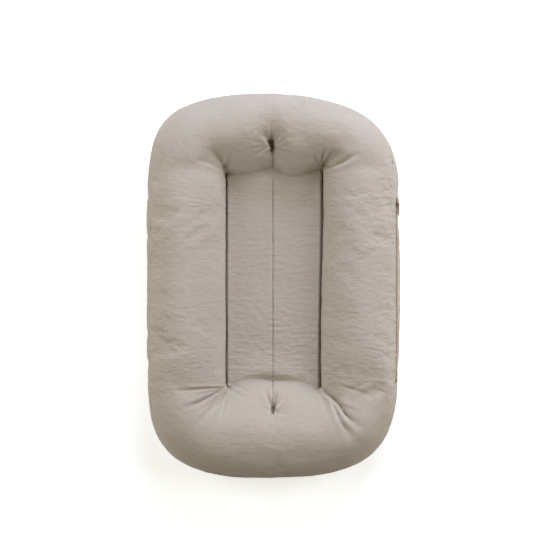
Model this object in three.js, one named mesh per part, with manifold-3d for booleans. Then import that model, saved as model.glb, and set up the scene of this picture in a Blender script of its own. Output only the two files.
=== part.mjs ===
// An infant lounger: plump muslin rolls round a shallow well, a sling across the well with a
// stitched line down its middle, and a zip in the right side seam.
// Millimetres, +X towards the zip, +Y towards the head, +Z up, resting on z = 0.
import * as THREE from "three";
import { mergeVertices } from "three/addons/utils/BufferGeometryUtils.js";
import { ConvexGeometry } from "three/addons/geometries/ConvexGeometry.js";
import Module from "manifold-3d";

const wasm = await Module();
wasm.setup();

// Whole object
const LENGTH = 737;
const WIDTH = 483;
const HEIGHT = 140;
const GAP = 0.3; // left between pieces that touch

// Outline from above: four superellipse quarters between the sides and the two end peaks
const HEAD_PEAK_X = -8;
const FOOT_PEAK_X = -25;
const ZIP_SIDE_TRIM = 3; // the zip side bulges this much less, so that the zip runs straight
const QUARTER_POWERS = {
  headRight: { across: 2.08, along: 5.88 },
  headLeft: { across: 2.78, along: 6.67 },
  footRight: { across: 2.94, along: 5.26 },
  footLeft: { across: 2.38, along: 6.25 },
};

// Well
const WELL_WIDTH = 184;
const HEAD_ROLL = 142.5; // from the end of the lounger to the end of the well
const FOOT_ROLL = 165.5;
const WELL_CORNER = 14;
// Lobes of an end roll that bulge into the well: a lower power gives flatter lobes
const HEAD_LOBES = { count: 2, bulge: 16, power: 0.8 };
const FOOT_LOBES = { count: 1, bulge: 19, power: 0.4 };
const SLING_SAG = 8;
const CENTRE_LINE_INSET = 120; // from the middle of a crease to the end of the sling's level line

// Rolls
const WIDEST_Z = 58; // height of the widest line, and of the sling's edge
const SIDE_CROWN_SHARE = 0.96; // of the height
const FOOT_CROWN_SHARE = 0.98;
const FLOOR_PRESS = 8; // how much of the round underside the floor flattens
const SIDE_SEAM_ANGLE = 24; // degrees above the widest line
const END_SEAM_ANGLE = 6;
const RISING_ROW_SHARES = [0.34, 0.68, 1]; // seam to crown
const FALLING_ROW_SHARES = [0.28, 0.55, 0.8]; // crown to well
const UNDER_ROW_SHARE = 0.5; // widest line to the flat

// Tucks and corner creases
const HEAD_TUCK = { reach: 41, depth: 32, spread: 20 };
const FOOT_TUCK = { reach: 52, depth: 24, spread: 20 };
const TUCK_LENGTH = 32;
const CREASE_DEPTH = 9;
const CREASE_ROW_SHARES = [0.45, 1, 0.5];
const CORNER_CREASES = {
  headRight: { at: 2, share: 0.8 },
  headLeft: { at: 3, share: 0.6 },
  footLeft: { at: 2, share: 0.7 },
  footRight: { at: 3, share: 1 },
};

// Cloth layers
const COVER = 1;
const CASE = 0.6;
const PANEL = 1;
const CASE_SLACK = 4; // the inner pillow stands this far back from the cover's side seam

// Zip
const SLIT_HEAD_INSET = 59; // from the head end of the well
const SLIT_FOOT_INSET = 21;
const SLIT_TAPER = 8;
const SLIT_HALF = 4;
const TAPE = 0.5;
const TAPE_WIDTH = 12;
const TAPE_EDGE = 1.6; // from the middle of the chain
const TAPE_OVERRUN = 5;
const TOOTH_PITCH = 7;
const TOOTH_LENGTH = 2.2; // along the chain
const TOOTH_REACH = 0.6; // past the middle
const TOOTH_WIDTH = 3.2;
const TOOTH_SPINE = 0.7;
const TOOTH_TOP = 0.3;
const TOOTH_FLOOR = -1;
const SLIDER_LENGTH = 12;
const SLIDER_TIP = 3;
const SLIDER_WIDTH = 9;
const PLATE = 1.2;
const PLATE_RIDE = 0.4; // over the teeth
const BACK_WIDTH = 6.4;
const BACK_RIDE = 0.95; // under the tapes
const POST_WIDTH = 1.8;
const POST_LENGTH = 2.2;
const LUG_GAP = 3.2;
const LUG_WIDTH = 1;
const LUG_LENGTH = 3.4;
const PIN_RADIUS = 0.6;
const PIN_COVER = 0.5; // metal of a lug above the pin
const PIN_SIDES = 16;
const PULL_THICKNESS = 1.2;
const PULL_LENGTH = 21;
const PULL_WIDTH = 6.4;
const PULL_NECK = 2.6;
const PULL_NECK_LENGTH = 3;
const EYE_CLEARANCE = 0.3;
const EYE_WALL = 0.7;
const STOP_LENGTH = 3;
const STOP_REACH = 3;
const STOP_TOP = 0.9;

// Stitches
const STITCH_PITCH = 9;
const STITCH_LENGTH = 5.5;
const STITCH_WIDTH = 0.8;
const STITCH_HEIGHT = 0.6;
const THREAD_RUN = 0.25; // thickness of the thread between stitches
const WELL_STITCH_PITCH = 16;
const WELL_STITCH_LENGTH = 11;
const WELL_STITCH_INSET = 1.6;
const TUCK_STITCH_LENGTH = 5;
const TUCK_STITCH_PITCH = 2.6;
const TUCK_STITCH_COUNT = 4;

// Stations round the ring
const CORNER_STEPS = 6;
const END_STEPS = 8;
const ZIP_STEPS = 5;
const HALVINGS = 40; // when the outline is searched for
const SQUARE_SHARE = 0.999; // a station square to a side
const MERGE_SHARE = 0.000004; // of the width: corners nearer than this are one

// Colours
const MUSLIN = { color: 0xc3bbb1, roughness: 0.95, metalness: 0 };
const UNDERCLOTH = { color: 0xbfb7ad, roughness: 0.95, metalness: 0 };
const CASECLOTH = { color: 0xeeebe5, roughness: 0.9, metalness: 0 };
const FILLING = { color: 0xf6f4f0, roughness: 1, metalness: 0 };
const THREAD = { color: 0x9c9184, roughness: 0.85, metalness: 0 };
const TAPECLOTH = { color: 0xb1a89c, roughness: 0.9, metalness: 0 };
const RESIN = { color: 0xa69b8d, roughness: 0.5, metalness: 0 };
const BRONZE = { color: 0x6d573b, roughness: 0.35, metalness: 0.8 };

const group = new THREE.Group();
group.name = "infant_lounger";

function addMesh(name, geometry, look) {
  const mesh = new THREE.Mesh(geometry, new THREE.MeshStandardMaterial(look));
  mesh.name = name;
  group.add(mesh);
}

// Outline and stations

function isInside(x, y) {
  const peakX = y > 0 ? HEAD_PEAK_X : FOOT_PEAK_X;
  const right = x > peakX;
  const powers = QUARTER_POWERS[(y > 0 ? "head" : "foot") + (right ? "Right" : "Left")];
  const reach = WIDTH / 2 + (right ? ZIP_SIDE_TRIM - peakX : peakX);
  const acrossTerm = Math.pow(Math.abs(x - peakX) / reach, powers.across);
  const alongTerm = Math.pow(Math.abs(y) / (LENGTH / 2), powers.along);
  return acrossTerm + alongTerm < 1 && x < WIDTH / 2;
}

function outlineFrom(origin, direction) {
  let near = 0;
  let far = LENGTH;
  for (let step = 0; step < HALVINGS; step += 1) {
    const middle = (near + far) / 2;
    const point = origin.clone().addScaledVector(direction, middle);
    if (isInside(point.x, point.y)) near = middle;
    else far = middle;
  }
  return origin.clone().addScaledVector(direction, near);
}

// Each station holds the well edge, the outline point across the roll from it and what the roll
// does there. They run anticlockwise from the foot end of the zip side.
const wellHalf = WELL_WIDTH / 2;
const straightHalf = wellHalf - WELL_CORNER;
const wellHeadY = LENGTH / 2 - HEAD_ROLL;
const wellFootY = FOOT_ROLL - LENGTH / 2;
const sideHeadY = wellHeadY - WELL_CORNER;
const sideFootY = wellFootY + WELL_CORNER;
const headEndY = wellHeadY - CENTRE_LINE_INSET;
const footEndY = wellFootY + CENTRE_LINE_INSET;
const slitHeadY = wellHeadY - SLIT_HEAD_INSET;
const slitFootY = wellFootY + SLIT_FOOT_INSET;

const slitYs = Array.from({ length: ZIP_STEPS + 1 }, (_, step) =>
  THREE.MathUtils.lerp(slitFootY, slitHeadY, step / ZIP_STEPS),
);
const sideYs = [...slitYs, slitHeadY + SLIT_TAPER];

const stations = [];

function addStation(well, turn, centreY, extra = {}) {
  const direction = new THREE.Vector2(Math.cos(turn), Math.sin(turn));
  const outer = outlineFrom(well, direction);
  const endShare = Math.pow(direction.y, 2);
  const head = direction.y > 0;
  const endCrown = head ? HEIGHT : HEIGHT * FOOT_CROWN_SHARE;
  stations.push({
    well,
    direction,
    outer,
    width: outer.distanceTo(well),
    crown: THREE.MathUtils.lerp(HEIGHT * SIDE_CROWN_SHARE, endCrown, endShare),
    seamAngle: THREE.MathUtils.degToRad(
      THREE.MathUtils.lerp(SIDE_SEAM_ANGLE, END_SEAM_ANGLE, endShare),
    ),
    centre: new THREE.Vector2(0, centreY),
    tuck: null,
    creaseShare: 0,
    slit: false,
    ...extra,
  });
}

function addSide(right) {
  const ys = [sideFootY, ...sideYs, sideHeadY];
  if (!right) ys.reverse();
  for (const y of ys) {
    const x = right ? wellHalf : -wellHalf;
    const centreY = THREE.MathUtils.mapLinear(y, sideFootY, sideHeadY, footEndY, headEndY);
    const slit = right && slitYs.includes(y);
    addStation(new THREE.Vector2(x, y), right ? 0 : Math.PI, centreY, { slit });
  }
}

function addCorner(corner, right, head, startTurn) {
  const middle = new THREE.Vector2(
    right ? straightHalf : -straightHalf,
    head ? sideHeadY : sideFootY,
  );
  const crease = CORNER_CREASES[corner];
  for (let step = 1; step < CORNER_STEPS; step += 1) {
    const turn = startTurn + ((Math.PI / 2) * step) / CORNER_STEPS;
    const well = new THREE.Vector2(Math.cos(turn), Math.sin(turn))
      .multiplyScalar(WELL_CORNER)
      .add(middle);
    const fromSide = right === head ? step : CORNER_STEPS - step;
    addStation(well, turn, head ? headEndY : footEndY, {
      creaseShare: fromSide === crease.at ? crease.share : 0,
    });
  }
}

function addEnd(head) {
  for (let step = 0; step <= END_STEPS; step += 1) {
    const share = ((2 * step) / END_STEPS - 1) * (head ? -1 : 1);
    const lobes = head ? HEAD_LOBES : FOOT_LOBES;
    const wave = Math.abs(Math.sin((Math.PI / 2) * lobes.count * (share + 1)));
    const bulge = lobes.bulge * Math.pow(wave, lobes.power);
    const x = straightHalf * share;
    const y = head ? wellHeadY - bulge : wellFootY + bulge;
    addStation(new THREE.Vector2(x, y), head ? Math.PI / 2 : -Math.PI / 2,
      head ? headEndY : footEndY, { tuck: head ? HEAD_TUCK : FOOT_TUCK });
  }
}

addSide(true);
addCorner("headRight", true, true, 0);
addEnd(true);
addCorner("headLeft", false, true, Math.PI / 2);
addSide(false);
addCorner("footLeft", false, false, Math.PI);
addEnd(false);
addCorner("footRight", true, false, -Math.PI / 2);

// Roll section at a station: (distance in from the outline, height), clockwise from the side seam
const ANGLE_CROWN = Math.PI / 2;

function sectionOf(station) {
  const radius = station.width / 2;
  const rise = station.crown - WIDEST_Z;
  const drop = WIDEST_Z + FLOOR_PRESS;
  const flatAngle = Math.asin(WIDEST_Z / drop);
  const upper = (angle) =>
    new THREE.Vector2(radius * (1 - Math.cos(angle)), WIDEST_Z + rise * Math.sin(angle));
  const lower = (angle) =>
    new THREE.Vector2(
      radius * (1 - Math.cos(angle)),
      Math.max(0, WIDEST_Z - drop * Math.sin(angle)),
    );

  const rising = RISING_ROW_SHARES.map((share) =>
    upper(THREE.MathUtils.lerp(station.seamAngle, ANGLE_CROWN, share)),
  );
  const falling = FALLING_ROW_SHARES.map((share, row) => {
    const point = upper(ANGLE_CROWN * (1 + share));
    point.y -= CREASE_DEPTH * station.creaseShare * CREASE_ROW_SHARES[row];
    if (station.tuck) {
      const { reach, depth, spread } = station.tuck;
      const beside = Math.exp(-Math.pow(station.well.x / spread, 2));
      const fromWell = station.width - point.x;
      const along = Math.exp(-Math.pow((fromWell - reach) / TUCK_LENGTH, 2));
      point.y -= depth * beside * along;
    }
    return point;
  });
  return [
    upper(station.seamAngle),
    ...rising,
    ...falling,
    new THREE.Vector2(station.width, WIDEST_Z),
    lower(Math.PI - flatAngle * UNDER_ROW_SHARE),
    lower(Math.PI - flatAngle),
    lower(flatAngle),
    lower(flatAngle * UNDER_ROW_SHARE),
    new THREE.Vector2(0, WIDEST_Z),
  ];
}
const SEAM = 0;
const WELL_EDGE = RISING_ROW_SHARES.length + FALLING_ROW_SHARES.length + 1;

// The same section drawn in by a depth, with the side seam corner standing back by some slack
function inwardNormal(from, to) {
  return new THREE.Vector2(to.y - from.y, from.x - to.x).normalize();
}

function drawnIn(section, depth, slack) {
  const count = section.length;
  return section.map((point, i) => {
    const before = inwardNormal(section[(i + count - 1) % count], point);
    const after = inwardNormal(point, section[(i + 1) % count]);
    const bisector = before.clone().add(after).normalize();
    const reach = depth / bisector.dot(after) + (i === SEAM ? slack : 0);
    return point.clone().addScaledVector(bisector, reach);
  });
}

for (const station of stations) station.section = sectionOf(station);

function place(station, point) {
  return new THREE.Vector3(
    station.outer.x - station.direction.x * point.x,
    station.outer.y - station.direction.y * point.x,
    point.y,
  );
}

function stepAlong(from, to, distance) {
  return from.clone().lerp(to, distance / from.distanceTo(to));
}

function atHeight(from, to, height) {
  return from.clone().lerp(to, (height - from.y) / (to.y - from.y));
}

// Loops of one skin: round the upper or lower half of the rolls, from the side seam to the well
function halfLoops(upper, depth, slack, seamGap, wellGap) {
  const rows = stations.map((station) => {
    const section = drawnIn(station.section, depth, slack);
    const half = upper
      ? section.slice(SEAM, WELL_EDGE + 1)
      : [section[SEAM], ...section.slice(WELL_EDGE).reverse()];
    const last = half.length - 1;
    const edge = half[last].y + (upper ? wellGap : -wellGap);
    half[last] = atHeight(half[last - 1], half[last], edge);
    half[SEAM] = stepAlong(half[SEAM], half[SEAM + 1], seamGap(station));
    return half.map((point) => place(station, point));
  });
  return rows[0].map((_, row) => rows.map((points) => points[row]));
}

// Loops of the sling from its edge, which is the last loop of a skin, to its centre line
const SLING_SHARES = [1 / 3, 2 / 3, 1];

function slingLoops(edgeLoop, centreZ) {
  return SLING_SHARES.map((share) =>
    edgeLoop.map((edge, i) => {
      const { centre } = stations[i];
      const fall = 1 - Math.pow(1 - share, 2);
      return new THREE.Vector3(
        THREE.MathUtils.lerp(edge.x, centre.x, share),
        THREE.MathUtils.lerp(edge.y, centre.y, share),
        THREE.MathUtils.lerp(edge.z, centreZ, fall),
      );
    }),
  );
}

// A closed body from the loops of its underside, taken outwards, and of its upper side, taken
// back in. Both sides are split along the same diagonals, so that layers of cloth nest, and the
// left half mirrors the right one.
function sheetBody(under, above, joined) {
  const loops = [...under.slice().reverse(), ...above];
  const count = stations.length;
  const bands = joined ? loops.length : loops.length - 1;
  const index = [];
  for (let band = 0; band < bands; band += 1) {
    const here = band * count;
    const there = ((band + 1) % loops.length) * count;
    for (let i = 0; i < count; i += 1) {
      const next = (i + 1) % count;
      const leftHalf = stations[i].well.x + stations[next].well.x < 0;
      const split = band < under.length !== leftHalf
        ? [here + i, here + next, there + i, here + next, there + next, there + i]
        : [here + i, here + next, there + next, here + i, there + next, there + i];
      index.push(...split);
    }
  }
  const geometry = new THREE.BufferGeometry().setFromPoints(loops.flat());
  geometry.setIndex(index);
  return withoutSlivers(geometry);
}

function withoutSlivers(geometry) {
  const merged = mergeVertices(geometry, MERGE_SHARE * WIDTH);
  const corners = merged.index.array;
  const kept = [];
  for (let i = 0; i < corners.length; i += 3) {
    const [a, b, c] = [corners[i], corners[i + 1], corners[i + 2]];
    if (a !== b && b !== c && c !== a) kept.push(a, b, c);
  }
  merged.setIndex(kept);
  merged.computeVertexNormals();
  return merged;
}

// Cloth panels and the inner pillow
function lastOf(list) {
  return list[list.length - 1];
}

const coverSeam = (station) => (station.slit ? SLIT_HALF : GAP / 2);
const closedSeam = () => GAP / 2;
const noGap = () => 0;

function coverLoops(upper, depth) {
  const fromPanel = PANEL / 2 + GAP + COVER - depth;
  const skin = halfLoops(upper, depth, 0, coverSeam, fromPanel);
  const centreZ = WIDEST_Z - SLING_SAG + (upper ? fromPanel : -fromPanel);
  return [...skin, ...slingLoops(lastOf(skin), centreZ)];
}

function panelLoops(above) {
  const z = WIDEST_Z + (above ? PANEL / 2 : -PANEL / 2);
  const edge = stations.map((station) => {
    const corner = place(station, drawnIn(station.section, COVER, 0)[WELL_EDGE]);
    return corner.setZ(z);
  });
  return [edge, ...slingLoops(edge, z - SLING_SAG)];
}

const caseDepth = COVER + GAP;
const fillDepth = caseDepth + CASE + GAP;

function caseLoops(upper, depth) {
  return halfLoops(upper, depth, CASE_SLACK, closedSeam, GAP / 2);
}

const coverTop = coverLoops(true, 0);
addMesh("cover_top", sheetBody(coverLoops(true, COVER), coverTop, false), MUSLIN);
addMesh(
  "cover_base",
  sheetBody(coverLoops(false, 0), coverLoops(false, COVER), false),
  UNDERCLOTH,
);
addMesh(
  "insert_case_top",
  sheetBody(caseLoops(true, caseDepth + CASE), caseLoops(true, caseDepth), true),
  CASECLOTH,
);
addMesh(
  "insert_case_base",
  sheetBody(caseLoops(false, caseDepth), caseLoops(false, caseDepth + CASE), true),
  CASECLOTH,
);
addMesh(
  "fibrefill",
  sheetBody(
    halfLoops(false, fillDepth, CASE_SLACK, noGap, 0),
    halfLoops(true, fillDepth, CASE_SLACK, noGap, 0),
    true,
  ),
  FILLING,
);
addMesh("insert_sling", sheetBody(panelLoops(false), panelLoops(true), false), CASECLOTH);

// Solids joined and cut
function solidOf(geometry) {
  const bare = geometry.clone();
  bare.deleteAttribute("normal");
  bare.deleteAttribute("uv");
  const merged = mergeVertices(bare, MERGE_SHARE * WIDTH);
  return new wasm.Manifold(
    new wasm.Mesh({
      numProp: 3,
      vertProperties: merged.attributes.position.array,
      triVerts: new Uint32Array(merged.index.array),
    }),
  );
}

function geometryOf(solid) {
  const mesh = solid.getMesh();
  const geometry = new THREE.BufferGeometry();
  geometry.setAttribute("position", new THREE.BufferAttribute(mesh.vertProperties, 3));
  geometry.setIndex(new THREE.BufferAttribute(mesh.triVerts, 1));
  geometry.computeVertexNormals();
  return geometry;
}

function joined(geometries) {
  return geometries.map(solidOf).reduce((whole, solid) => whole.add(solid));
}

function box(minimum, maximum) {
  const size = maximum.map((value, i) => value - minimum[i]);
  const middle = maximum.map((value, i) => (value + minimum[i]) / 2);
  return new THREE.BoxGeometry(...size).translate(...middle);
}

// Sewing thread: a thin run with thicker stitches, laid on the cloth along a line of (y, height)
function offsetLine(line, distance) {
  return line.map((point, i) => {
    const before = i > 0 ? outwardNormal(line[i - 1], point) : null;
    const after = i < line.length - 1 ? outwardNormal(point, line[i + 1]) : null;
    const bisector = (before ?? after).clone().add(after ?? before).normalize();
    return point.clone().addScaledVector(bisector, distance / bisector.dot(after ?? before));
  });
}

function outwardNormal(from, to) {
  return inwardNormal(from, to).negate();
}

function threadBody(line, x, pitch, length, lift) {
  const floor = offsetLine(line, lift);
  const top = offsetLine(line, lift + THREAD_RUN);
  const outline = [top[0]];
  for (let i = 0; i + 1 < floor.length; i += 1) {
    const [from, to] = [floor[i], floor[i + 1]];
    const run = from.distanceTo(to);
    const normal = outwardNormal(from, to);
    const count = Math.floor((run - length + pitch) / pitch);
    for (let stitch = 0; stitch < count; stitch += 1) {
      const middle = (run * (stitch + 1 / 2)) / count;
      const [start, end] = [middle - length / 2, middle + length / 2];
      const rises = [[start, THREAD_RUN], [start, STITCH_HEIGHT],
        [end, STITCH_HEIGHT], [end, THREAD_RUN]];
      for (const [distance, height] of rises) {
        outline.push(stepAlong(from, to, distance).addScaledVector(normal, height));
      }
    }
    outline.push(top[i + 1]);
  }
  const shape = new THREE.Shape([...outline, ...floor.reverse()]);
  return new THREE.ExtrudeGeometry(shape, { depth: STITCH_WIDTH, bevelEnabled: false })
    .translate(0, 0, -STITCH_WIDTH / 2)
    .applyMatrix4(
      new THREE.Matrix4()
        .makeBasis(ALONG, UP, ACROSS)
        .setPosition(x, 0, 0),
    );
}

const ACROSS = new THREE.Vector3(1, 0, 0);
const ALONG = new THREE.Vector3(0, 1, 0);
const UP = new THREE.Vector3(0, 0, 1);
const TUCK_ROW = RISING_ROW_SHARES.length + 1;

function lineLift(steepness, width) {
  return GAP + (steepness * width) / 2;
}

// Down the middle of an end roll's inner face and on to the sling's centre line
function middleLoops(tuck) {
  const ofEnd = stations.filter((station) => station.tuck === tuck);
  const at = stations.indexOf(ofEnd[END_STEPS / 2]);
  return coverTop.slice(TUCK_ROW).map((loop) => ({ point: loop[at], beside: loop[at + 1] }));
}

function steepest(loops) {
  return Math.max(
    ...loops.map(({ point, beside }) => {
      const run = Math.abs(beside.x - point.x);
      return run > STITCH_WIDTH ? Math.abs(beside.z - point.z) / run : 0;
    }),
  );
}

const headLoops = middleLoops(HEAD_TUCK);
const footLoops = middleLoops(FOOT_TUCK);
const flat = ({ point }) => new THREE.Vector2(point.y, point.z);
const headLine = headLoops.map(flat);
const footLine = footLoops.map(flat);
addMesh(
  "centre_seam_thread",
  threadBody(
    [...footLine, ...headLine.slice().reverse()],
    0,
    STITCH_PITCH,
    STITCH_LENGTH,
    lineLift(steepest([...headLoops, ...footLoops]), STITCH_WIDTH),
  ),
  THREAD,
);

function wellThread(side) {
  const edge = coverTop[WELL_EDGE];
  const inner = coverTop[WELL_EDGE + 1];
  const square = stations
    .map((_, i) => i)
    .filter((i) => stations[i].direction.x * side > SQUARE_SHARE)
    .sort((a, b) => edge[a].y - edge[b].y);
  const first = square[0];
  const slope = (edge[first].z - inner[first].z) / Math.abs(edge[first].x - inner[first].x);
  const z = edge[first].z - slope * WELL_STITCH_INSET;
  const line = [first, lastOf(square)].map((i) => new THREE.Vector2(edge[i].y, z));
  const x = edge[first].x - side * WELL_STITCH_INSET;
  const lift = lineLift(slope, STITCH_WIDTH);
  return threadBody(line, x, WELL_STITCH_PITCH, WELL_STITCH_LENGTH, lift);
}

addMesh("well_seam_thread_right", wellThread(1), THREAD);
addMesh("well_seam_thread_left", wellThread(-1), THREAD);

// Tuck: bars of thread across the gather, held by one bar along it
function tuckThread(loops) {
  const [tuck, below] = loops.map(({ point }) => point);
  const down = below.clone().sub(tuck).normalize();
  const out = new THREE.Vector3(0, -down.z, down.y).multiplyScalar(Math.sign(down.y));
  const lift = lineLift(steepest(loops), TUCK_STITCH_LENGTH);
  const frame = new THREE.Matrix4().makeBasis(
    new THREE.Vector3().crossVectors(down, out),
    down,
    out,
  );
  const bars = Array.from({ length: TUCK_STITCH_COUNT }, (_, i) => {
    const y = TUCK_STITCH_PITCH * (i + 1 / 2);
    return box(
      [-TUCK_STITCH_LENGTH / 2, y - STITCH_WIDTH / 2, lift],
      [TUCK_STITCH_LENGTH / 2, y + STITCH_WIDTH / 2, lift + STITCH_HEIGHT],
    );
  });
  const holding = box(
    [-STITCH_WIDTH / 2, 0, lift],
    [STITCH_WIDTH / 2, TUCK_STITCH_PITCH * TUCK_STITCH_COUNT, lift + THREAD_RUN],
  );
  return geometryOf(joined([...bars, holding])).applyMatrix4(frame.setPosition(tuck));
}

addMesh("head_tuck_thread", tuckThread(headLoops), THREAD);
addMesh("foot_tuck_thread", tuckThread(footLoops), THREAD);

// Zip: its own frame has x down across the chain, y towards the head and z out of the cloth
const zipStation = stations.find((station) => station.slit);
const seamPoint = place(zipStation, zipStation.section[SEAM]);
const risingFold = place(zipStation, zipStation.section[SEAM + 1]).sub(seamPoint).normalize();
const fallingFold = place(zipStation, lastOf(zipStation.section)).sub(seamPoint).normalize();
const zipDown = fallingFold.clone().sub(risingFold).normalize();
const zipAlong = new THREE.Vector3(0, 1, 0);
const zipOut = new THREE.Vector3().crossVectors(zipDown, zipAlong);

function inZipFrame(geometry, y) {
  const frame = new THREE.Matrix4().makeBasis(zipDown, zipAlong, zipOut);
  return geometry.applyMatrix4(frame.setPosition(seamPoint.x, y, seamPoint.z));
}

function tapeBody(upper) {
  const corners = [COVER + GAP, COVER + GAP + TAPE].flatMap((depth) => {
    const section = drawnIn(zipStation.section, depth, 0);
    const far = upper ? section[SEAM + 1] : lastOf(section);
    return [TAPE_EDGE, TAPE_WIDTH].map((distance) =>
      place(zipStation, stepAlong(section[SEAM], far, distance)),
    );
  });
  const ends = [slitFootY - TAPE_OVERRUN, slitHeadY + TAPE_OVERRUN];
  return new ConvexGeometry(ends.flatMap((y) => corners.map((corner) => corner.clone().setY(y))));
}

addMesh("zip_tape_upper", tapeBody(true), TAPECLOTH);
addMesh("zip_tape_lower", tapeBody(false), TAPECLOTH);

const headStopY = slitHeadY - STOP_LENGTH;
const footStopY = slitFootY + STOP_LENGTH;
const sliderY = headStopY - STOP_LENGTH / 2 - GAP - SLIDER_LENGTH / 2;
const postHeadY = SLIDER_LENGTH / 2 - SLIDER_TIP / 2;
const chainFootY = footStopY + STOP_LENGTH / 2 + GAP;
const chainHeadY = sliderY + postHeadY - POST_LENGTH - GAP;

function teethBody(upper) {
  const side = upper ? -1 : 1;
  const phase = upper ? 0 : TOOTH_PITCH / 2;
  const run = chainHeadY - chainFootY - TOOTH_LENGTH - phase;
  const count = Math.floor(run / TOOTH_PITCH) + 1;
  const [tip, root] = [-side * TOOTH_REACH, side * (TOOTH_WIDTH - TOOTH_REACH - TOOTH_SPINE)];
  const back = side * (TOOTH_WIDTH - TOOTH_REACH);
  const outline = [new THREE.Vector2(back, phase)];
  for (let i = 0; i < count; i += 1) {
    const y = phase + i * TOOTH_PITCH;
    outline.push(
      new THREE.Vector2(i === 0 ? tip : root, y),
      new THREE.Vector2(tip, y),
      new THREE.Vector2(tip, y + TOOTH_LENGTH),
      new THREE.Vector2(i === count - 1 ? tip : root, y + TOOTH_LENGTH),
    );
  }
  outline.push(new THREE.Vector2(back, lastOf(outline).y));
  const comb = new THREE.ExtrudeGeometry(new THREE.Shape(outline), {
    depth: TOOTH_TOP - TOOTH_FLOOR,
    bevelEnabled: false,
  });
  return inZipFrame(comb.translate(0, 0, TOOTH_FLOOR), chainFootY);
}

addMesh("zip_teeth_upper", teethBody(true), RESIN);
addMesh("zip_teeth_lower", teethBody(false), RESIN);

function stopBox(fromX, toX) {
  return box([fromX, -STOP_LENGTH / 2, TOOTH_FLOOR], [toX, STOP_LENGTH / 2, STOP_TOP]);
}

addMesh("zip_stop_head_upper", inZipFrame(stopBox(-STOP_REACH, -TAPE_EDGE), headStopY), BRONZE);
addMesh("zip_stop_head_lower", inZipFrame(stopBox(TAPE_EDGE, STOP_REACH), headStopY), BRONZE);
addMesh("zip_stop_foot", inZipFrame(stopBox(-STOP_REACH, STOP_REACH), footStopY), BRONZE);

// Slider and pull
function plateShape(width, length, tip) {
  const half = width / 2;
  const narrow = half - tip / 2;
  return new THREE.Shape([
    new THREE.Vector2(-narrow, -length / 2),
    new THREE.Vector2(narrow, -length / 2),
    new THREE.Vector2(half, -length / 2 + tip),
    new THREE.Vector2(half, length / 2 - tip / 2),
    new THREE.Vector2(narrow, length / 2),
    new THREE.Vector2(-narrow, length / 2),
    new THREE.Vector2(-half, length / 2 - tip / 2),
    new THREE.Vector2(-half, -length / 2 + tip),
  ]);
}

function plate(shape, floor, thickness) {
  return new THREE.ExtrudeGeometry(shape, { depth: thickness, bevelEnabled: false })
    .translate(0, 0, floor);
}

function pinAcross(radius, length, z) {
  return new THREE.CylinderGeometry(radius, radius, length, PIN_SIDES)
    .rotateZ(Math.PI / 2)
    .translate(0, 0, z);
}

const plateFloor = TOOTH_TOP + PLATE_RIDE;
const plateTop = plateFloor + PLATE;
const eyeHole = PIN_RADIUS + EYE_CLEARANCE;
const eyeRadius = eyeHole + EYE_WALL;
const pinZ = plateTop + GAP + eyeRadius;
const backTop = TOOTH_FLOOR - GAP - TAPE - BACK_RIDE;

function sliderSolid() {
  const lugX = LUG_GAP / 2 + LUG_WIDTH / 2;
  const lugs = [-lugX, lugX].map((x) =>
    box(
      [x - LUG_WIDTH / 2, -LUG_LENGTH / 2, plateFloor],
      [x + LUG_WIDTH / 2, LUG_LENGTH / 2, pinZ + PIN_RADIUS + PIN_COVER],
    ),
  );
  return joined([
    plate(plateShape(SLIDER_WIDTH, SLIDER_LENGTH, SLIDER_TIP), plateFloor, PLATE),
    plate(plateShape(BACK_WIDTH, SLIDER_LENGTH, SLIDER_TIP), backTop - PLATE, PLATE),
    box(
      [-POST_WIDTH / 2, postHeadY - POST_LENGTH, backTop - PLATE / 2],
      [POST_WIDTH / 2, postHeadY, plateFloor + PLATE / 2],
    ),
    pinAcross(PIN_RADIUS, LUG_GAP + LUG_WIDTH, pinZ),
    ...lugs,
  ]);
}

function pullSolid() {
  const tab = plateShape(PULL_WIDTH, PULL_LENGTH - PULL_NECK_LENGTH, SLIDER_TIP);
  const tabMiddle = -(PULL_LENGTH + PULL_NECK_LENGTH) / 2;
  const whole = joined([
    pinAcross(eyeRadius, PULL_NECK, pinZ),
    box(
      [-PULL_NECK / 2, -PULL_NECK_LENGTH - SLIDER_TIP, pinZ - PULL_THICKNESS / 2],
      [PULL_NECK / 2, -eyeHole - GAP, pinZ + PULL_THICKNESS / 2],
    ),
    plate(tab, pinZ - PULL_THICKNESS / 2, PULL_THICKNESS).translate(0, tabMiddle, 0),
  ]);
  return whole.subtract(solidOf(pinAcross(eyeHole, PULL_NECK + GAP, pinZ)));
}

addMesh("zip_slider", inZipFrame(geometryOf(sliderSolid()), sliderY), BRONZE);
addMesh("zip_pull", inZipFrame(geometryOf(pullSolid()), sliderY), BRONZE);

export default group;
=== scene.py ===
import math

import bmesh
import bpy
import numpy as np
from mathutils import Matrix, Vector, noise
from mathutils.bvhtree import BVHTree


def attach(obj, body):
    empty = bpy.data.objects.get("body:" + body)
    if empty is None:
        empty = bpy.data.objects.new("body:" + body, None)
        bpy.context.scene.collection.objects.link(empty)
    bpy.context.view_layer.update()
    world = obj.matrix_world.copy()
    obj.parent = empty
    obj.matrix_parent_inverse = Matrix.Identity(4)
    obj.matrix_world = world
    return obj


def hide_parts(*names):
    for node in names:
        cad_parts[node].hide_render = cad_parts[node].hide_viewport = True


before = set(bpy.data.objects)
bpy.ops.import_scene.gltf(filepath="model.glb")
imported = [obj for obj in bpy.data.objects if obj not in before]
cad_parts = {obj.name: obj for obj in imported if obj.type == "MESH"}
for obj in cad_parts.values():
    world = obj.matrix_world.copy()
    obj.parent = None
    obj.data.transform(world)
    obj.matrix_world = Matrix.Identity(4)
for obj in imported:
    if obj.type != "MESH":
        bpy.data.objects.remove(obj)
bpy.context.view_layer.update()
scene = bpy.context.scene

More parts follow.
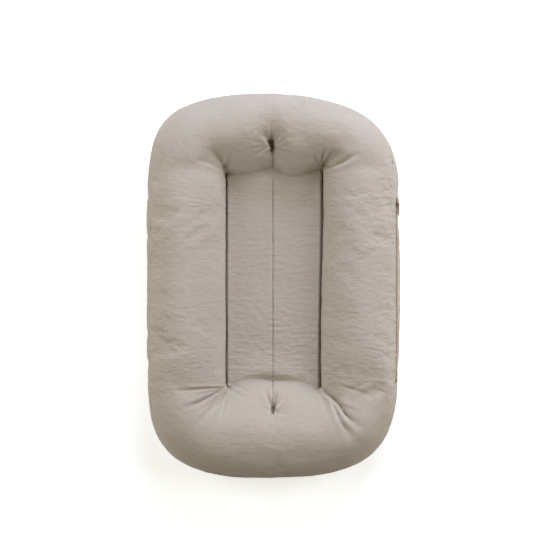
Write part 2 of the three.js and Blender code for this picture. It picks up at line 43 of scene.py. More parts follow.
# Lengths are in metres, but tables of many places are in millimetres
MM = 0.001

# Sizes of the lounger, as in the solids
LENGTH, WIDTH = 0.737, 0.483
HEAD_PEAK_X, FOOT_PEAK_X = -0.008, -0.025
ZIP_SIDE_TRIM = 0.003
QUARTER_POWERS = {
    (True, True): (2.08, 5.88),
    (True, False): (2.78, 6.67),
    (False, True): (2.94, 5.26),
    (False, False): (2.38, 6.25),
}
WIDEST_Z = 0.058
SIDE_CROWN, HEAD_CROWN, FOOT_CROWN = 0.1344, 0.1385, 0.1362
FLOOR_PRESS = 0.008
SIDE_SEAM_ANGLE, END_SEAM_ANGLE = math.radians(24), math.radians(6)
SLING_EDGE_Z = 0.0598
SLING_SAG = 0.008
SLING_GAP = 0.0030
SAG_POWER, SAG_END_SHARE = 2.2, 0.16  # how flat the sag's middle is, and where it sets in
LEFT_PINCH, RIGHT_PINCH, RIGHT_PINCH_SPREAD = 0.0110, 0.0135, 1.3  # pull of the well's seams
TOP_PINCH_WIDTH, UNDER_PINCH_WIDTH = 0.0030, 0.0040
END_EASE = 0.35  # how much the end rolls' inner faces lean out as they meet the sling
SIDE_FILL = 0.2  # how much fuller than round the side rolls are towards the well
SLIT_FOOT_Y, SLIT_HEAD_Y, SLIT_TAPER, SLIT_HALF = -0.181, 0.1645, 0.0065, 0.0040
FACES_ZIP = 0.7  # least outward x of a station where the zip may open the seam
STITCH_PITCH, STITCH_LENGTH = 0.0046, 0.0030

# Hollow of the sling before the foot roll: depth, spread along and across, way from the roll
FOOT_DIP, FOOT_DIP_WIDTH, FOOT_DIP_ACROSS, FOOT_DIP_OFF = 0.0130, 0.0075, 0.050, 0.003

# Zip, in a frame across, along and out of it
ZIP_MIDDLE = (0.23504, 0.08908)
ZIP_TILT = math.radians(23.19)
ROW_FOOT_Y, ROW_HEAD_Y = -0.1772, 0.1575
TOOTH_PITCH, TOOTH_LENGTH = 0.0030, 0.0015
TOOTH_TIP, TOOTH_BACK = 0.00038, 0.0026
TOOTH_FLOOR, TOOTH_TOP = -0.0010, 0.0003
TOOTH_LIP, TOOTH_HEAD = 0.0002, 0.0009  # how far a tooth's head stands out, and its depth
RAIL_WIDTH, RAIL_RISE, RAIL_DROP = 0.0009, 0.0001, 0.0003  # the strip that joins a row's teeth
POST_HALF, SLIM_POST_HALF, POST_MARGIN = 0.0009, 0.00026, 5e-5
TOOTH_ROUND, SLIDER_ROUND, ROUND_STEPS = 0.00022, 0.00014, 2
FLAT_ANGLE, SHARP_ANGLE = 0.02, 0.6
TAPE_FOOT_Y, TAPE_HEAD_Y, TAPE_THICKNESS, TAPE_STEPS = -0.1815, 0.1655, 0.0004, 118
TAPE_DIP, TAPE_DIP_LENGTH = 0.0013, 0.0035
TAPE_END_SHARE, TAPE_WIDENS = 0.58, (0.002, 0.012)  # width at the ends, and where it grows
TAPE_SECTION = [(1.5, -1.05), (3, -1.05), (4, -1.35), (4.9, -2.45), (5.7, -3.8)]

# Edge of the well: the lines run along its ends, as the gathered rolls push into it
WELL_LEFT, WELL_RIGHT, WELL_LEAN = 0.0915, 0.0925, 0.0050
LEAN_FOOT_Y, LEAN_HEAD_Y = -0.16, 0.21
WELL_FOOT_Y, WELL_HEAD_Y = -0.195, 0.215
CORNER = 0.006
HEAD_LINE = [
    (-89, 216.5), (-70, 212.5), (-44, 217), (-21, 225), (0, 229), (12, 225),
    (23, 214.5), (37, 209), (52, 212), (71, 219), (95, 226),
]
FOOT_LINE = [
    (-89, -197.5), (-79, -191), (-54, -184), (-21, -181.8), (0, -183.5),
    (33, -185.3), (52, -187.6), (79, -194.5), (92, -200),
]

# Mesh spacing
ACROSS, CORNER_COLUMNS, DOWN, ROLL_ROWS, BASE_ROWS = 92, 7, 250, 92, 44
CROWDING, CROWDED_SHARE = 1.3, 0.16  # how much closer the sling's rows lie at its ends
CURVE_STEPS, CURVE_REACH, CURVE_BLUR = 600, 60, 24.0
FINE_ROWS, FINE_RIM, HALVINGS = 800, 4096, 40
NOISE_STEP = np.array([17.3, 5.1, 9.7])  # how far apart in the noise two seeds lie


def smooth(a, b, x):
    t = np.clip((x - a) / (b - a), 0, 1)
    return t * t * (3 - 2 * t)


def bell(x, width):
    return np.exp(-((x / width) ** 2))


def mound(xy, centre, spread):
    """A hill of height one, with its own spread along x and y."""
    return bell(xy[..., 0] - centre[0], spread[0]) * bell(xy[..., 1] - centre[1], spread[1])


# Outline
def inside(x, y):
    """Which points lie within the outline, a rounded quarter to each corner."""
    peak = np.where(y > 0, HEAD_PEAK_X, FOOT_PEAK_X)
    right = x > peak
    reach = np.where(right, WIDTH / 2 + ZIP_SIDE_TRIM - peak, WIDTH / 2 + peak)
    across, along = np.empty_like(x), np.empty_like(x)
    for (head, side), (p, q) in QUARTER_POWERS.items():
        here = ((y > 0) == head) & (right == side)
        across[here], along[here] = p, q
    term = np.power(np.abs(x - peak) / reach, across)
    term += np.power(np.abs(y) / (LENGTH / 2), along)
    return (term < 1) & (x < WIDTH / 2)


def outline_from(q, d):
    """Where the ways d from the points q meet the outline."""
    near, far = np.zeros(len(q)), np.full(len(q), LENGTH)
    for _ in range(HALVINGS):
        middle = (near + far) / 2
        p = q + d * middle[:, None]
        hit = inside(p[:, 0], p[:, 1])
        near, far = np.where(hit, middle, near), np.where(hit, far, middle)
    return q + d * near[:, None]


# Sling, a grid of points in plan whose rim is the well's edge
def curve_through(points, x):
    """Where a soft curve through a table's points lies at x."""
    xs, ys = np.array(points).T * MM
    fine = np.linspace(xs[0], xs[-1], CURVE_STEPS)
    heights = np.interp(fine, xs, ys)
    kernel = bell(np.arange(-CURVE_REACH, CURVE_REACH + 1), CURVE_BLUR)
    padded = np.pad(heights, CURVE_REACH, mode="reflect", reflect_type="odd")
    return np.interp(x, fine, np.convolve(padded, kernel / kernel.sum(), "valid"))


def half_width(right, y):
    leaning = WELL_RIGHT + WELL_LEAN * smooth(LEAN_FOOT_Y, LEAN_HEAD_Y, y)
    return np.where(right, leaning, WELL_LEFT)


def end_line(points, x, limit, sign):
    """The well's end, which turns off in a quarter circle past the limits of x."""
    flat = curve_through(points, np.clip(x, -limit[0], limit[1]))
    over = np.where(x > 0, x - limit[1], -x - limit[0])
    drop = CORNER - np.sqrt(np.maximum(CORNER**2 - np.maximum(over, 0) ** 2, 0))
    return flat - sign * drop


def sling_plan():
    bend = np.sin(np.linspace(0, math.pi / 2, CORNER_COLUMNS + 1))[1:]

    def columns(y):
        left = -half_width(np.array(False), y) + CORNER
        right = half_width(np.array(True), y) - CORNER
        middle = np.linspace(left, right, ACROSS + 1)
        return np.concatenate([(left - CORNER * bend)[::-1], middle, right + CORNER * bend])

    head_x, foot_x = columns(WELL_HEAD_Y), columns(WELL_FOOT_Y)
    limits = [(-xs[CORNER_COLUMNS], xs[-1 - CORNER_COLUMNS]) for xs in (head_x, foot_x)]
    head_y = end_line(HEAD_LINE, head_x, limits[0], 1)
    foot_y = end_line(FOOT_LINE, foot_x, limits[1], -1)
    fine = np.linspace(0, 1, FINE_ROWS)
    density = 1 + CROWDING * (bell(fine, CROWDED_SHARE) + bell(1 - fine, CROWDED_SHARE))
    total = np.concatenate([[0], np.cumsum((density[1:] + density[:-1]) / 2)])
    t = np.interp(np.linspace(0, total[-1], DOWN + 1), total, fine)
    y = foot_y[:, None] + (head_y - foot_y)[:, None] * t[None, :]
    x = foot_x[:, None] + (head_x - foot_x)[:, None] * smooth(0, 1, t)[None, :]
    scale = half_width(x > 0, y) / np.where(x > 0, x[-1:], -x[:1])
    scale[len(x) // 2] = 1  # the middle column runs straight
    return np.stack([x * scale, y], 2)


plan = sling_plan()
COLUMNS, ROWS = plan.shape[:2]
SLING_POINTS = COLUMNS * ROWS
FAR = 1.0  # stands for the way to an edge that isn't near
cells = np.arange(SLING_POINTS).reshape(COLUMNS, ROWS)
rim = np.concatenate([cells[-1, :-1], cells[:0:-1, -1], cells[0, :0:-1], cells[:-1, 0]])
STATIONS = len(rim)
FAN = 0.030  # how far along the rim a corner's turn is spread


def rim_directions(q):
    """Outward ways from the rim, turned smoothly so that the rolls fan round the corners."""
    corners = np.cumsum([ROWS - 1, COLUMNS - 1] * 2)
    turns = corners + CORNER_COLUMNS // 2 * np.array([1, -1, 1, -1])
    angle = np.searchsorted(turns, np.arange(STATIONS), "right") * math.pi / 2
    length = np.linalg.norm(np.roll(q, -1, 0) - q, axis=1)
    at = np.concatenate([[0], np.cumsum(length)[:-1]])
    total = length.sum()
    even = np.arange(FINE_RIM) * total / FINE_RIM
    loop_angle = np.concatenate([angle, [angle[0] + 2 * math.pi]])
    rest = np.interp(even, np.concatenate([at, [total]]), loop_angle) - 2 * math.pi * even / total
    offset = np.minimum(np.arange(FINE_RIM), FINE_RIM - np.arange(FINE_RIM))
    kernel = bell(offset, FAN / (total / FINE_RIM))
    rest = np.real(np.fft.ifft(np.fft.fft(rest) * np.fft.fft(kernel / kernel.sum())))
    rest = np.interp(at, np.append(even, total), np.append(rest, rest[0]))
    angle = rest + 2 * math.pi * at / total
    return np.stack([np.cos(angle), np.sin(angle)], 1)


rim_q = plan.reshape(-1, 2)[rim]
rim_d = rim_directions(rim_q)
rim_p = outline_from(rim_q, rim_d)
rim_end = rim_d[:, 1] ** 2
rim_width = np.linalg.norm(rim_p - rim_q, axis=1)


def roll_section(angles):
    """Points of the rolls for each station (rows) and angle round the section (columns)."""
    crown = np.where(rim_d[:, 1] > 0, HEAD_CROWN, FOOT_CROWN)
    crown = SIDE_CROWN + (crown - SIDE_CROWN) * rim_end
    r = rim_width[:, None] / 2 * (1 - np.cos(angles))
    rise = np.where(angles > 0, crown[:, None] - WIDEST_Z, WIDEST_Z + FLOOR_PRESS)
    falling = np.clip(-np.cos(angles), 0, 1)
    ease = np.where(angles > math.pi / 2, END_EASE * rim_end[:, None], 0)
    fuller = np.where(angles > math.pi / 2, 1 - SIDE_FILL * (1 - rim_end[:, None]), 1)
    round_lift = np.sign(np.sin(angles)) * np.abs(np.sin(angles)) ** fuller
    lift = (1 - ease) * round_lift + ease * (1 + np.cos(math.pi * falling)) / 2
    z = np.maximum(WIDEST_Z + rise * lift, 0)
    xy = rim_p[:, None, :] - rim_d[:, None, :] * r[..., None]
    return np.concatenate([xy, z[..., None]], 2)


def noise_at(points, scale, seed):
    """Noise at each point, with its scale in bumps a metre."""
    points = points.reshape(-1, points.shape[-1])
    if points.shape[1] == 2:
        points = np.column_stack([points, np.zeros(len(points))])
    points = points * np.asarray(scale, float) + seed * NOISE_STEP
    return np.fromiter((noise.noise(Vector(v)) for v in points), float, len(points))


def line_offset(xy, line):
    """Signed distance to a line of points, and the share of its length at the nearest point."""
    best = np.full(len(xy), 1e9)
    side, share = np.ones(len(xy)), np.zeros(len(xy))
    lengths = np.linalg.norm(np.diff(line, axis=0), axis=1)
    total, before = lengths.sum(), 0.0
    for a, b, length in zip(line[:-1], line[1:], lengths):
        way = (b - a) / length
        t = np.clip((xy - a) @ way / length, 0, 1)
        off = xy - (a + t[:, None] * length * way)
        dist = np.linalg.norm(off, axis=1)
        closer = dist < best
        best = np.where(closer, dist, best)
        side = np.where(closer, np.sign(way[0] * off[:, 1] - way[1] * off[:, 0]), side)
        share = np.where(closer, (before + t * length) / total, share)
        before += length
    return best * side, share


# Folds seen from above: line, depth, half width, and which side of it stands up
FOLDS = [
    ([(-90, 216), (-98, 234), (-112, 252), (-127, 259)], 6.5, 6, 1),
    ([(94, 227), (106, 226.5), (125, 231.5), (170, 253)], 6, 3, -1),
    ([(96, 231), (108, 247), (116, 262)], 3.6, 2.4, 1),
    ([(98, 229), (118, 247), (128, 257)], 3.8, 2.6, 1),
    ([(92, 232), (94, 248), (99, 264)], 3, 2.2, 1),
    ([(87, 231), (78, 241), (70, 247)], 2.6, 2, 1),
    ([(-100, 222), (-118, 232), (-150, 236)], 2.6, 3, 1),
    ([(-92, 218), (-84, 236), (-82, 252)], 3, 2.6, 1),
    ([(-93, -193), (-118, -191.5), (-140, -192), (-200, -196.5)], 4, 1.8, -1),
    ([(-94, -195), (-121, -200), (-146, -204)], 2.2, 2.2, -1),
    ([(-94, -197), (-121, -208), (-140, -217.5), (-178, -229)], 5.2, 2.2, -1),
    ([(-92, -203), (-104, -218), (-117, -239)], 3, 2.2, 1),
    ([(-94, -202), (-112, -222), (-132, -250)], 2.8, 2.4, 1),
    ([(-93, -200), (-120, -220), (-146, -238)], 2.6, 2.2, 1),
    ([(-92, -199), (-124, -232), (-152, -268)], 3, 2, -1),
    ([(-91, -203), (-106, -240), (-118, -272)], 2.8, 2, 1),
    ([(-88, -203), (-90, -226), (-94, -250)], 2.2, 2, -1),
    ([(-86, -194), (-64, -203), (-40, -216)], 2.4, 2.6, -1),
    ([(-80, -188), (-60, -193), (-36, -204)], 1.8, 2.2, -1),
    ([(96, -199), (119, -216.5), (138.5, -242), (180, -275)], 10.5, 2.5, -1),
    ([(112, -218), (130, -255), (146, -282), (165, -306)], 6.6, 2.5, -1),
    ([(90, -201), (104, -236), (116, -262)], 2.2, 2.6, -1),
    ([(128, -187), (150, -193), (171, -201), (205, -204)], 1.6, 2.6, 1),
    ([(126, -222), (148, -230), (170, -240)], 2, 2.6, 1),
    ([(196, -194), (215, -200), (230, -201)], 2, 2.6, 1),
]

# A fold is a sharp crease with a bank on one side of it, in a wide bed
CREASE_POWER = 1.25
BANK_SHARE, BANK_OFF, BANK_SPREAD = 0.35, 2.1, 1.7
BED_SHARE, BED_SPREAD = 0.15, 3.2
FOLD_START_DEPTH, FOLD_START_SHARE, FOLD_FADE_SHARE = 0.6, 0.12, 0.45
FOLD_START_WIDTH, FOLD_WIDENING = 0.8, 0.9

HEAD_TUCK, FOOT_TUCK = (-0.002, 0.2665), (0.0, -0.2340)

# Puckers at the tucks: angle of each in degrees, length, depth
HEAD_RAYS = [
    (122, 45, 4.2), (136, 48, 4.6), (151, 44, 3.4), (108, 40, 3), (92, 44, 2.6),
    (74, 38, 1.6), (55, 34, 1.4), (168, 48, 3.4), (188, 44, 3), (207, 50, 2.6),
    (24, 36, 1.6), (-8, 44, 1.4), (-29, 50, 2),
]
FOOT_RAYS = [
    (106, 52, 6), (78, 44, 4.8), (6, 36, 4.4), (24, 36, 4), (-10, 34, 3.2),
    (176, 18, 2.6), (160, 24, 1.4), (132, 36, 1.8), (58, 40, 1.8), (-50, 30, 1.2),
    (-74, 32, 1.2), (-112, 26, 1),
]
RAY_SWAY, RAY_SWAY_RATE = 0.0012, 150
RAY_WIDTH, RAY_WIDENING, RAY_WIDTH_SHARE = 0.0006, 0.05, 0.30  # the share is of its depth
RAY_SETS_IN, RAY_FADE_SHARE = (0.001, 0.006), 0.25
RAY_BANK_SHARE, RAY_BANK_OFF, RAY_BANK_SPREAD = 0.5, 2, 1.5

# Pit of each tuck: centre, then its slit (depth, half width, power, middle, half length) and its
# funnel (depth, half width, middle, half length), with middles along y from the centre
PITS = [
    (HEAD_TUCK, (15, 3.6, 1.5, -2, 11), (27, 20, 9, 33)),
    (FOOT_TUCK, (7, 2.6, 1.3, 0, 8), (17, 15, 8, 26)),
]


def fold_moves(xy):
    total = np.zeros(len(xy))
    for line, depth, width, up in FOLDS:
        off, share = line_offset(xy, np.array(line) * MM)
        start = FOLD_START_DEPTH + (1 - FOLD_START_DEPTH) * smooth(0, FOLD_START_SHARE, share)
        fade = (1 - smooth(FOLD_FADE_SHARE, 1, share)) * start
        spread = width * MM * (FOLD_START_WIDTH + FOLD_WIDENING * share)
        bank = BANK_SHARE * bell(off - up * BANK_OFF * spread, BANK_SPREAD * spread)
        crease = np.exp(-((np.abs(off) / spread) ** CREASE_POWER))
        total += depth * fade * (bank - crease - BED_SHARE * bell(off, BED_SPREAD * spread))
    return total * MM


def ray_moves(xy):
    total = np.zeros(len(xy))
    for centre, rays in ((HEAD_TUCK, HEAD_RAYS), (FOOT_TUCK, FOOT_RAYS)):
        off = xy - centre
        for degrees, length, depth in np.array(rays) * (1, MM, MM):
            a = math.radians(degrees)
            along = off @ np.array([math.cos(a), math.sin(a)])
            aside = off @ np.array([-math.sin(a), math.cos(a)])
            aside += RAY_SWAY * np.sin(along * RAY_SWAY_RATE)
            width = RAY_WIDTH + RAY_WIDENING * np.maximum(along, 0) + RAY_WIDTH_SHARE * depth
            fade = 1 - smooth(RAY_FADE_SHARE * length, length, along)
            bank = RAY_BANK_SHARE * bell(aside - RAY_BANK_OFF * width, RAY_BANK_SPREAD * width)
            total += depth * smooth(*RAY_SETS_IN, along) * fade * (bank - bell(aside, width))
    return total


def tuck_drop(xy):
    """How far the tucks pull the cloth down."""
    drop = np.zeros(len(xy))
    for centre, slit, funnel in PITS:
        x, y = (xy - centre).T / MM
        depth, breadth, power, middle, half_length = slit
        drop -= depth * np.exp(-((np.abs(x) / breadth) ** power)) * bell(y - middle, half_length)
        depth, breadth, middle, half_length = funnel
        drop -= depth * np.exp(-np.hypot(x / breadth, (y - middle) / half_length))
    centre, spread, depth = VALLEY
    return (drop - depth * mound(xy / MM, centre, spread)) * MM


# Broad hollows between the rolls, and a valley from the head tuck: centre, spread, depth
HOLLOWS = [
    ((97, 236), (12, 14), 9),
    ((-165, 219), (60, 20), 5.5),
    ((165, 224), (60, 18), 3),
    ((178, -192), (62, 54), 14),
    ((46, 280), (42, 23), 6),
    ((-40, 280), (36, 20), 2.8),
    ((-170, -190), (50, 34), 4),
]
VALLEY = ((-2, 244.5), (10, 20), 2)
HOLLOWS_END = (0.200, 0.229)  # the x over which the hollows run out before the zip's tapes


def hollow_drop(xy):
    """How far the hollows lower the cloth."""
    drop = sum(depth * mound(xy / MM, centre, spread) for centre, spread, depth in HOLLOWS)
    return -drop * MM * (1 - smooth(*HOLLOWS_END, xy[:, 0]))


# Meshes
def link(name, data):
    obj = bpy.data.objects.new(name, data)
    bpy.context.collection.objects.link(obj)
    return obj


def cloth_object(name, verts, faces, cloth):
    """A smooth object of quads whose texture places are those in the flat cloth."""
    mesh = bpy.data.meshes.new(name)
    mesh.vertices.add(len(verts))
    mesh.vertices.foreach_set("co", verts.astype(np.float32).ravel())
    mesh.loops.add(faces.size)
    mesh.loops.foreach_set("vertex_index", faces.astype(np.int32).ravel())
    mesh.polygons.add(len(faces))
    mesh.polygons.foreach_set("loop_start", np.arange(0, faces.size, 4, dtype=np.int32))
    mesh.update(calc_edges=True)
    mesh.shade_smooth()
    layer = mesh.uv_layers.new(name="cloth")
    layer.data.foreach_set("uv", cloth[faces.ravel()].astype(np.float32).ravel())
    return link(name, mesh)


def panel_faces(rows):
    """Quads of the sling grid and of the ring outside its rim, whose last column is the rim."""
    sling = np.stack([cells[:-1, :-1], cells[1:, :-1], cells[1:, 1:], cells[:-1, 1:]], 2)
    ring = SLING_POINTS + np.arange(STATIONS * (rows - 1)).reshape(STATIONS, -1)
    ring = np.concatenate([ring, rim[:, None]], 1)
    after = np.roll(ring, -1, 0)
    outer = np.stack([ring[:, :-1], after[:, :-1], after[:, 1:], ring[:, 1:]], 2)
    return np.concatenate([sling.reshape(-1, 4), outer.reshape(-1, 4)])


def vertex_normals(verts, faces):
    a, b, c, d = (verts[faces[:, k]] for k in range(4))
    face = np.cross(c - a, d - b)
    total = np.zeros_like(verts)
    for k in range(4):
        np.add.at(total, faces[:, k], face)
    return total / np.maximum(np.linalg.norm(total, axis=1, keepdims=True), 1e-15)


def relax(verts, faces, weight, rounds):
    """Values of the points drawn towards the mean of their neighbours."""
    edges = np.concatenate([faces[:, [k, (k + 1) % 4]] for k in range(4)])
    count = np.bincount(edges.ravel(), minlength=len(verts))[:, None]
    for _ in range(rounds):
        total = np.zeros_like(verts)
        np.add.at(total, edges[:, 0], verts[edges[:, 1]])
        np.add.at(total, edges[:, 1], verts[edges[:, 0]])
        verts = verts + weight[:, None] * (total / np.maximum(count, 1) - verts)
    return verts


def from_rim(grid):
    """Arc length of each ring point from the rim, which is the last column."""
    steps = np.linalg.norm(np.diff(grid[:, ::-1], axis=1), axis=2)
    return np.concatenate([np.zeros((len(grid), 1)), np.cumsum(steps, 1)], 1)[:, ::-1]


def sling_height(xy):
    """Height of the sling, and how far each point is from the nearer side of the well."""
    x, y = xy[..., 0], xy[..., 1]
    foot, head = y[:, :1], y[:, -1:]
    t = (y - foot) / (head - foot)
    half = half_width(x > 0, y)
    away = 1 - np.abs(x / half) ** SAG_POWER
    ends = smooth(0, SAG_END_SHARE, t) * smooth(0, SAG_END_SHARE, 1 - t)
    return SLING_EDGE_Z - SLING_SAG * np.clip(away, 0, 1) * ends, half - np.abs(x)


def seam_pinch(x, away, width):
    """How deep the well's seams pull the sling down, more on the right one."""
    right = RIGHT_PINCH * bell(away, RIGHT_PINCH_SPREAD * width)
    return np.where(x > 0, right, LEFT_PINCH * bell(away, width))


def seam_angle(shift):
    """Angle of a panel's outer edge at each station, and where the zip's slit opens it."""
    angle = SIDE_SEAM_ANGLE + (END_SEAM_ANGLE - SIDE_SEAM_ANGLE) * rim_end
    opened = smooth(SLIT_FOOT_Y - SLIT_TAPER, SLIT_FOOT_Y, rim_p[:, 1]) * (rim_d[:, 0] > FACES_ZIP)
    opened *= 1 - smooth(SLIT_HEAD_Y, SLIT_HEAD_Y + SLIT_TAPER, rim_p[:, 1])
    return angle + shift * opened * SLIT_HALF / (rim_width / 2), opened


def panel(sling_z, seam, end, rows):
    """A panel's points, their places in the flat cloth, and their way from its outer edge."""
    ring = roll_section(seam[:, None] + (end - seam[:, None]) * np.linspace(0, 1, rows))
    length = from_rim(ring)
    points = np.concatenate([plan, sling_z[..., None]], 2).reshape(-1, 3)
    flat = rim_q[:, None] + rim_d[:, None] * length[..., None]
    verts = np.concatenate([points, ring[:, :-1].reshape(-1, 3)])
    cloth = np.concatenate([plan.reshape(-1, 2), flat[:, :-1].reshape(-1, 2)])
    gap = (length.max(1)[:, None] - length)[:, :-1].ravel()
    return verts, cloth, np.concatenate([np.full(SLING_POINTS, FAR), gap])


def of_stations(values, rows):
    """A value for every point of a panel: zero on the sling, one a station on the ring."""
    return np.concatenate([np.zeros(SLING_POINTS), np.repeat(values, rows - 1)])


# Upper cloth. Shares of a roll's way from the side seam to the well over which dents set in
TUCK_ROWS, HOLLOW_ROWS, FOLD_ROWS, RAYS_FROM = (0.2, 0.45), (0.05, 0.35), (0.10, 0.25), 0.4
seam, opened = seam_angle(1)
sling_z, wall = sling_height(plan)
verts, cloth, edge_gap = panel(sling_z, seam, math.pi, ROLL_ROWS)
faces = panel_faces(ROLL_ROWS)
on_ring = np.arange(len(verts)) >= SLING_POINTS
share = np.linspace(0, 1, ROLL_ROWS)[:-1]
row_share = np.concatenate([np.ones(SLING_POINTS), np.tile(share, STATIONS)])
station_end = of_stations(rim_end, ROLL_ROWS)
to_wall = np.concatenate([wall.ravel(), np.full(len(verts) - SLING_POINTS, FAR)])
verts[:, 2] += tuck_drop(verts[:, :2]) * np.where(on_ring, smooth(*TUCK_ROWS, row_share), 1)
verts[:, 2] += hollow_drop(verts[:, :2]) * np.where(on_ring, smooth(*HOLLOW_ROWS, row_share), 0)

# The rolls' inner faces run softly into the sling at both ends, but not at its corners
BLEND_REACH, BLEND_CORNER, BLEND_ENDS = 0.012, 0.02, (0.12, 0.17)
BLEND_WEIGHT, BLEND_ROUNDS = 0.85, 14
x, y = verts[:, 0], verts[:, 1]
past_head, past_foot = y - curve_through(HEAD_LINE, x), curve_through(FOOT_LINE, x) - y
at_end = bell(np.where(y > 0, past_head, past_foot), BLEND_REACH)
at_end *= smooth(0, BLEND_CORNER, half_width(x > 0, y) - np.abs(x)) * smooth(*BLEND_ENDS, np.abs(y))
verts = relax(verts, faces, BLEND_WEIGHT * at_end, BLEND_ROUNDS)

# Lower cloth
low_seam, low_opened = seam_angle(-1)
foot_dip = bell(plan[..., 1] - curve_through(FOOT_LINE, plan[..., 0]), 2 * FOOT_DIP_WIDTH)
under_pinch = seam_pinch(plan[..., 0], wall, UNDER_PINCH_WIDTH)
under_z = sling_z - SLING_GAP - under_pinch - FOOT_DIP * foot_dip
low, low_cloth, low_gap = panel(under_z, low_seam, -math.pi, BASE_ROWS)
low_faces = panel_faces(BASE_ROWS)[:, ::-1]
on_low_ring = np.arange(len(low)) >= SLING_POINTS


# Filled rolls: a coarser closed skin of them is blown up as cloth, and its moves are taken over
SKIN_STATIONS, SKIN_TOP_ROWS, SKIN_LOW_ROWS, SKIN_STEPS = 330, 46, 24, 16
SPARE_CLOTH, SKIN_CAP = 0.020, 0.0028
BROAD_SHARE, BROAD_REACH, SKIN_PITCH = 0.20, 0.030, 0.0045
SEAM_HOLD, FLOOR_HOLD_Z = 0.3, 0.002
TUCK_HOLDS = [(HEAD_TUCK, 0.012), (FOOT_TUCK, 0.009)]
# The upper cloth takes a smaller share of the moves at the side seam and on the crown
EDGE_SHARE, EDGE_RISE = 0.3, (0.005, 0.040)
CROWN_SHARE, CROWN_FALL = 0.5, (0.07, 0.15)
CALMING, TOP_ROUNDS, LOW_ROUNDS = 0.7, 4, 2


def ring_of(points, rows):
    """A panel's ring as stations by rows, whose last column is the rim."""
    ring = points[SLING_POINTS:].reshape(STATIONS, rows - 1, 3)
    return np.concatenate([ring, points[rim][:, None]], 1)


def sampled(grid, stations, rows):
    """Values of a closed grid at fractional stations and rows."""
    a, b = np.floor(stations).astype(int) % len(grid), np.floor(rows).astype(int)
    s, t = (stations % 1)[:, None, None], (rows % 1)[None, :, None]
    after, below = (a + 1) % len(grid), np.minimum(b + 1, grid.shape[1] - 1)
    near = grid[a][:, b] * (1 - t) + grid[a][:, below] * t
    far = grid[after][:, b] * (1 - t) + grid[after][:, below] * t
    return near * (1 - s) + far * s


def spread_out(field, distance, step):
    """A grid's values smoothed round the ring and along its rows."""
    for axis, pitch in enumerate(step):
        reach = int(3 * distance / pitch)
        kernel = bell(np.arange(-reach, reach + 1) * pitch, distance)
        kernel /= kernel.sum()
        before, after = field.take(range(-reach, 0), axis), field.take(range(reach), axis)
        padded = np.concatenate([before, field, after], axis)
        field = np.apply_along_axis(lambda line: np.convolve(line, kernel, "valid"), axis, padded)
    return field


def tube_quads(stations, rows):
    """Quads of a tube of stations by rows that is closed both ways."""
    here = np.arange(stations * rows).reshape(stations, rows)
    there = np.roll(here, -1, 0)
    return np.stack([here, there, np.roll(there, -1, 1), np.roll(here, -1, 1)], 2).reshape(-1, 4)


def closed_skin(top_ring, low_ring):
    """Both rings as one coarse tube, the fine station of each of its stations, and its length."""
    middle = top_ring[:, ROLL_ROWS // 2 - 1]
    steps = np.linalg.norm(np.roll(middle, -1, 0) - middle, axis=1)
    along = np.concatenate([[0], np.cumsum(steps)])
    even = np.arange(SKIN_STATIONS) * along[-1] / SKIN_STATIONS
    at = np.interp(even, along, np.arange(STATIONS + 1))
    top_part = sampled(top_ring, at, np.linspace(0, ROLL_ROWS - 1, SKIN_TOP_ROWS))
    low_part = sampled(low_ring, at, np.linspace(0, BASE_ROWS - 1, SKIN_LOW_ROWS))
    return np.concatenate([top_part, low_part[:, -2:0:-1]], 1), at, along[-1]


def held_points(skin):
    """How firmly each point is held: at the side seam, the well, the tucks and the floor."""
    on_top = np.arange(skin.shape[1]) < SKIN_TOP_ROWS
    held = np.zeros(skin.shape[:2])
    held[:, 0] = SEAM_HOLD
    held[:, SKIN_TOP_ROWS - 1] = 1
    for centre, radius in TUCK_HOLDS:
        away = np.linalg.norm(skin[..., :2] - centre, axis=2)
        held = np.maximum(held, (away < radius) * on_top)
    return np.maximum(held, skin[..., 2] < FLOOR_HOLD_Z).ravel()


def blown_up(skin):
    """The skin after some steps as cloth with pressure inside."""
    start = skin.reshape(-1, 3)
    obj = cloth_object("skin", start, tube_quads(*skin.shape[:2]), start[:, :2])
    held = held_points(skin)
    pins = obj.vertex_groups.new(name="held")
    for weight in np.unique(held[held > 0]):
        pins.add(np.nonzero(held == weight)[0].tolist(), float(weight), "REPLACE")
    setting = obj.modifiers.new("cloth", "CLOTH").settings
    setting.quality = 5
    setting.mass = 0.2
    setting.tension_stiffness = setting.compression_stiffness = 25
    setting.shear_stiffness = 8
    setting.bending_stiffness = 0.05
    setting.use_pressure = True
    setting.uniform_pressure_force = 4
    setting.shrink_min = -SPARE_CLOTH
    setting.vertex_group_mass = "held"
    setting.effector_weights.gravity = 0
    for step in range(1, SKIN_STEPS + 1):
        scene.frame_set(step)
    done = obj.evaluated_get(bpy.context.evaluated_depsgraph_get()).to_mesh()
    settled = np.empty(start.size, np.float32)
    done.vertices.foreach_get("co", settled)
    bpy.data.objects.remove(obj)
    scene.frame_set(1)
    return settled.reshape(skin.shape)


